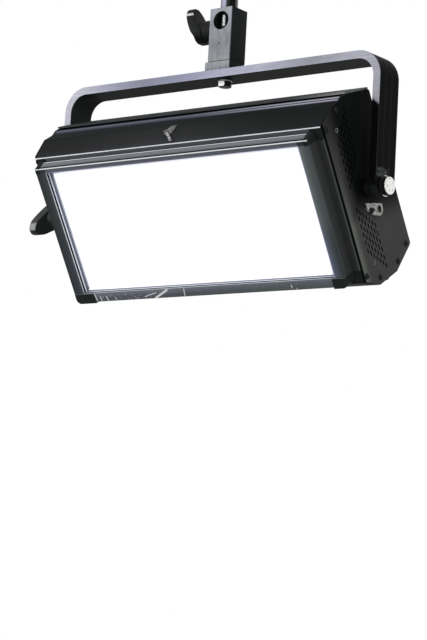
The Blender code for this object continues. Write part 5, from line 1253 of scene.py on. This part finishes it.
# %% [markdown]
# ## Front frame
#
# Four extruded rails carry the panel. Towards the window they share one stepped profile: lip,
# groove, ridge and slant. Outside they differ, so each profile is drawn on its own.

# %% Rails
REVEAL = [
    (0, FRAME_FRONT), (0, -0.0951), (0.0015, -0.0951), (0.0015, -0.0914), (0, -0.0914), (0, -0.0857),
    (0.0020, -0.0822), (0.0020, -0.0756), (0.0086, -0.0756), (0.0086, -0.0718),
]
WINDOW_X, WINDOW_Z = 0.2489, 0.1062


def finish_rail(piece, finish, node):
    return seat_tilted(round_edges(piece, 0.0003, 2, 30), finish, [node])


side_profile = [(WINDOW_X + out, y) for out, y in REVEAL]
side_profile += [(0.281, -0.0718), (0.281, HOUSING_FRONT), (0.2685, HOUSING_FRONT), (0.2685, FRAME_FRONT)]
low_end = -WINDOW_Z + GAP
for side, sign, finish in (("left", -1, left_rail_paint), ("right", 1, right_rail_paint)):
    corners = [(sign * x, y, low_end) for x, y in side_profile]
    piece = extrude_outline(f"{side}_side_rail", corners, (0, 0, -2 * low_end))
    finish_rail(piece, finish, f"{side}_rail")

top_profile = [(y, WINDOW_Z + out) for out, y in REVEAL] + [
    (-0.0718, 0.1238), (HOUSING_FRONT, 0.1238), (HOUSING_FRONT, 0.1165), (-0.0805, 0.1165),
    (-0.0805, 0.1197), (-0.0825, 0.1197), (-0.0939, 0.1157), (-0.0939, 0.1127), (-0.0959, 0.1127),
    (-0.0959, 0.1147), (FRAME_FRONT, 0.1147),
]
finish_rail(across_housing("top_front_rail", 0.2602, top_profile), top_rail_paint, "top_rail")

low_profile = [(y, -WINDOW_Z - out) for out, y in REVEAL]
low_profile += [(-0.0718, -0.1238), (HOUSING_FRONT, -0.1238)]
low_profile += [(HOUSING_FRONT, -0.1215), (FRAME_FRONT, -0.1215)]
low_rail = across_housing("bottom_front_rail", 0.2572, low_profile)
# Room for the corner blocks, which the rail's ends fit into
corner_room = [
    (-0.110, -0.090), (-0.0967, -0.090), (-0.0967, -0.1145), (-0.060, -0.1145), (-0.060, -0.140),
    (-0.110, -0.140),
]
for start, end in ((-0.270, -0.2277), (0.2427, 0.270)):
    room = extrude_outline("tool", [(start, y, z) for y, z in corner_room], (end - start, 0, 0))
    carve(low_rail, room)
finish_rail(low_rail, low_rail_paint, "bottom_rail")

# %% Panel
PANEL_X, PANEL_Y, PANEL_Z = 0.2568, -0.0753, 0.1141
panel_outline = [(-PANEL_X, -PANEL_Z), (PANEL_X, -PANEL_Z), (PANEL_X, PANEL_Z), (-PANEL_X, PANEL_Z)]
panel = extrude_outline("opal_panel", [(x, PANEL_Y, z) for x, z in panel_outline], (0, 0.003, 0))
seat_tilted(round_edges(panel, 0.0005, 1), opal, ["diffuser"])

# %% [markdown]
# ## Safety eye and latch
#
# The safety eye is a bent strip of plated steel: a leaf on the plate, a step outwards and a lug
# with a hole. The latch is a small plate, an arm with a hooked end and the screw it turns on.

# %% Safety eye
face, lug = PLATE_OUTER + GAP, (0.0003, -0.0360)
EYE_FRONT, BEND_START, STAND_OFF = -0.0258, -0.0072, 0.0065
section = [
    (face, EYE_FRONT), (face, BEND_START), (face + STAND_OFF, BEND_START + EYE_SHEET),
    (face + STAND_OFF, 0.0103), (face + STAND_OFF + EYE_SHEET, 0.0103),
    (face + STAND_OFF + EYE_SHEET, -0.0057), (face + EYE_SHEET, -0.0087), (face + EYE_SHEET, EYE_FRONT),
]
eye = extrude_outline("safety_lug", [(x, y, -0.0460) for x, y in section], (0, 0, 0.0306))
edge = [(EYE_FRONT, -0.0154), (-0.01875, -0.0325), *arc_points(lug, 0.0100, 195, 337, 14), (0.0103, -0.0307)]
carve(eye, extrude_outline("tool", [(face - 0.004, y, z) for y, z in edge], (0.02, 0, 0)), "INTERSECT")
carve(eye, rod_tool(0.0042, "X", 0.28, 0.30, (0, *lug), 32))
carve(eye, rod_tool(0.0027, "X", 0.28, 0.30, (0, *EYE_SCREW), 24))
seat_tilted(round_edges(eye, 0.0006, 2), eye_steel, ["safety_eye"])

# %% Latch
SLOPE, UP_SLOPE, LATCH_X = math.atan2(0.0183, 0.0383), 0.0242, -0.0190
LATCH_Y, LATCH_Z = HOUSING_FRONT + UP_SLOPE * math.cos(SLOPE), FRONT_EDGE + UP_SLOPE * math.sin(SLOPE)


def on_slope(piece, turn=0.0):
    """Turn a piece drawn flat about its screw and lay it on the front slope."""
    place = Matrix.Translation((LATCH_X, LATCH_Y, LATCH_Z)) @ Matrix.Rotation(SLOPE, 4, "X")
    piece.data.transform(place @ Matrix.Rotation(turn, 4, "Z"))
    return piece


def latch_sheet(name, corners, depth):
    """A sheet part with the screw's hole in it and soft edges."""
    sheet = extrude_outline(name, corners, depth)
    carve(sheet, rod_tool(0.0021, "Z", -0.01, 0.01, steps=24))
    return round_edges(sheet, 0.0004, 2)


plate_corners = [(-0.0036, -0.0036), (0.0108, -0.0036), (0.0144, 0.0140), (0.0036, 0.0140), (-0.0036, 0.0036)]
latch_plate = latch_sheet("latch_base", [(x, y, GAP) for x, y in plate_corners], (0, 0, 0.0018))
seat_tilted(on_slope(latch_plate), latch_steel, ["latch_plate"])

ARM_HALF_WIDTH, ARM_TIP = 0.0023, -0.029
side_line = [
    (ARM_HALF_WIDTH, 0.0024), (ARM_TIP, 0.0024), (ARM_TIP - 0.0018, 0.0069), (ARM_TIP, 0.0069),
    (ARM_TIP + 0.0018, 0.0042), (ARM_HALF_WIDTH, 0.0042),
]
arm_corners = [(-ARM_HALF_WIDTH, y, z) for y, z in side_line]
latch_arm = latch_sheet("latch_hook", arm_corners, (2 * ARM_HALF_WIDTH, 0, 0))
seat_tilted(on_slope(latch_arm, math.radians(43)), hook_steel, ["latch_arm"], "latch")

head, shank = 0.0045, 0.0018
pin_outline = [
    (0, -0.004), (shank, -0.004), (shank, head), (0.0030, head), (0.0029, head + 0.0008),
    (0.0022, head + 0.0016), (0.0010, head + 0.002), (0, head + 0.002),
]
latch_screw = smooth(spin_profile("latch_pin", pin_outline, "Z", steps=24))
seat_tilted(on_slope(latch_screw), latch_steel, ["latch_screw"])

# %% [markdown]
# ## Solids that stay
#
# The rear cover, the corner blocks and everything inside already have their final shape in the
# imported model. They keep it and only get a finish of their own.

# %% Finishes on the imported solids
BY_FINISH = {
    rear_paint: ["rear_cover"], shell_paint: ["bottom_shell"], screw_black: ["power_switch"],
    corner_plastic: [f"{side}_{end}_corner" for side in ("left", "right") for end in ("bottom", "top")],
    white_paint: ["mixing_chamber", "left_led_board", "right_led_board"],
    plain_aluminium: ["heat_sink", "power_supply"], board_green: ["control_board"],
    black_plastic: [
        "left_fan_frame", "right_fan_frame", "left_fan_rotor", "right_fan_rotor", "data_socket_in",
        "data_socket_out", "power_inlet", "switch_frame", "dimmer_knob",
    ],
    zinc: ["left_pivot_sleeve", "right_pivot_shaft", "spigot_lever_stud", "tilt_lever_stud"],
}
KEPT = {name: finish for finish, names in BY_FINISH.items() for name in names}
for node_name, finish in KEPT.items():
    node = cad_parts[node_name]
    node.data.materials.clear()
    node.data.materials.append(finish)
shown = [name for name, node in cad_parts.items() if not node.hide_render]
print("packed solids shown:", len(shown), "without a finish:", sorted(set(shown) - set(KEPT)))

# %% [markdown]
# ## Studio
#
# The light hangs in a white room. A pale floor lies far below it, the background is white to the
# camera and in reflections, and three large soft lamps give a plain light at which a colour
# renders about as it is written.

# %% Floor, lamps and background
select_only()
bpy.ops.mesh.primitive_plane_add(size=14, location=(0, 0, -1.40))
floor = bpy.context.object
floor.name = "studio_floor"
floor_finish = Finish("floor_paint")
floor_colour = floor_finish.mix(floor_finish.noise(3.0), (240, 240, 240), (247, 247, 247))
floor.data.materials.append(floor_finish.done(floor_colour, 0.8))


def soft_lamp(name, place, target, size, power):
    light = bpy.data.lights.new(name, "AREA")
    light.shape = "SQUARE"
    light.size = size
    light.energy = power
    lamp = bpy.data.objects.new(name, light)
    bpy.context.scene.collection.objects.link(lamp)
    lamp.location = place
    lamp.rotation_euler = (Vector(target) - Vector(place)).to_track_quat("-Z", "Y").to_euler()
    return lamp


middle = (0, 0, -0.33)
soft_lamp("front_left_lamp", (-2.4, -2.8, 0.8), middle, 1.8, 62)
soft_lamp("right_lamp", (3.0, -0.6, 0.2), middle, 1.6, 26)
soft_lamp("low_lamp", (0.6, -2.6, -1.2), middle, 1.2, 14)

world = bpy.data.worlds.new("studio")
bpy.context.scene.world = world
world.use_nodes = True
sky = world.node_tree
rays = sky.nodes.new("ShaderNodeLightPath").outputs
seen = rays["Is Camera Ray"]
for kind in ("Is Glossy Ray", "Is Transmission Ray"):
    either = sky.nodes.new("ShaderNodeMath")
    either.operation = "MAXIMUM"
    sky.links.new(seen, either.inputs[0])
    sky.links.new(rays[kind], either.inputs[1])
    seen = either.outputs[0]
strength = sky.nodes.new("ShaderNodeMapRange")
strength.inputs["To Min"].default_value = 0.52
sky.links.new(seen, strength.inputs["Value"])
background = sky.nodes["Background"]
background.inputs["Color"].default_value = (1.0, 1.0, 1.0, 1.0)
sky.links.new(strength.outputs[0], background.inputs["Strength"])
print("studio: floor, 3 lamps, white background")

# %% [markdown]
# ## Camera
#
# The photograph is taken from below and from the right with a long lens. The camera's direction is
# worked out from three angles, so each one can be set against the photograph by itself.

# %% Camera
scene = bpy.context.scene
scene.view_settings.view_transform = "Standard"
azimuth, elevation, roll = 0.6538, 0.1389, 0.0545
level_forward = Vector((-math.sin(azimuth), math.cos(azimuth), 0))
forward = level_forward * math.cos(elevation) + Vector((0, 0, math.sin(elevation)))
across_view = Vector((math.cos(azimuth), math.sin(azimuth), 0))
upwards = across_view.cross(forward)
camera_x = across_view * math.cos(roll) + upwards * math.sin(roll)
camera_y = upwards * math.cos(roll) - across_view * math.sin(roll)
camera_data = bpy.data.cameras.new("photo_camera")
camera_data.lens = 126.19
camera_data.sensor_width = 36.0
camera_data.clip_end = 50.0
camera = bpy.data.objects.new("photo_camera", camera_data)
scene.collection.objects.link(camera)
turn = Matrix((camera_x, camera_y, -forward)).transposed()
camera.matrix_world = Matrix.Translation((2.1445, -2.7953, -1.0783)) @ turn.to_4x4()
scene.camera = camera
print("camera at", tuple(round(v, 3) for v in camera.location))
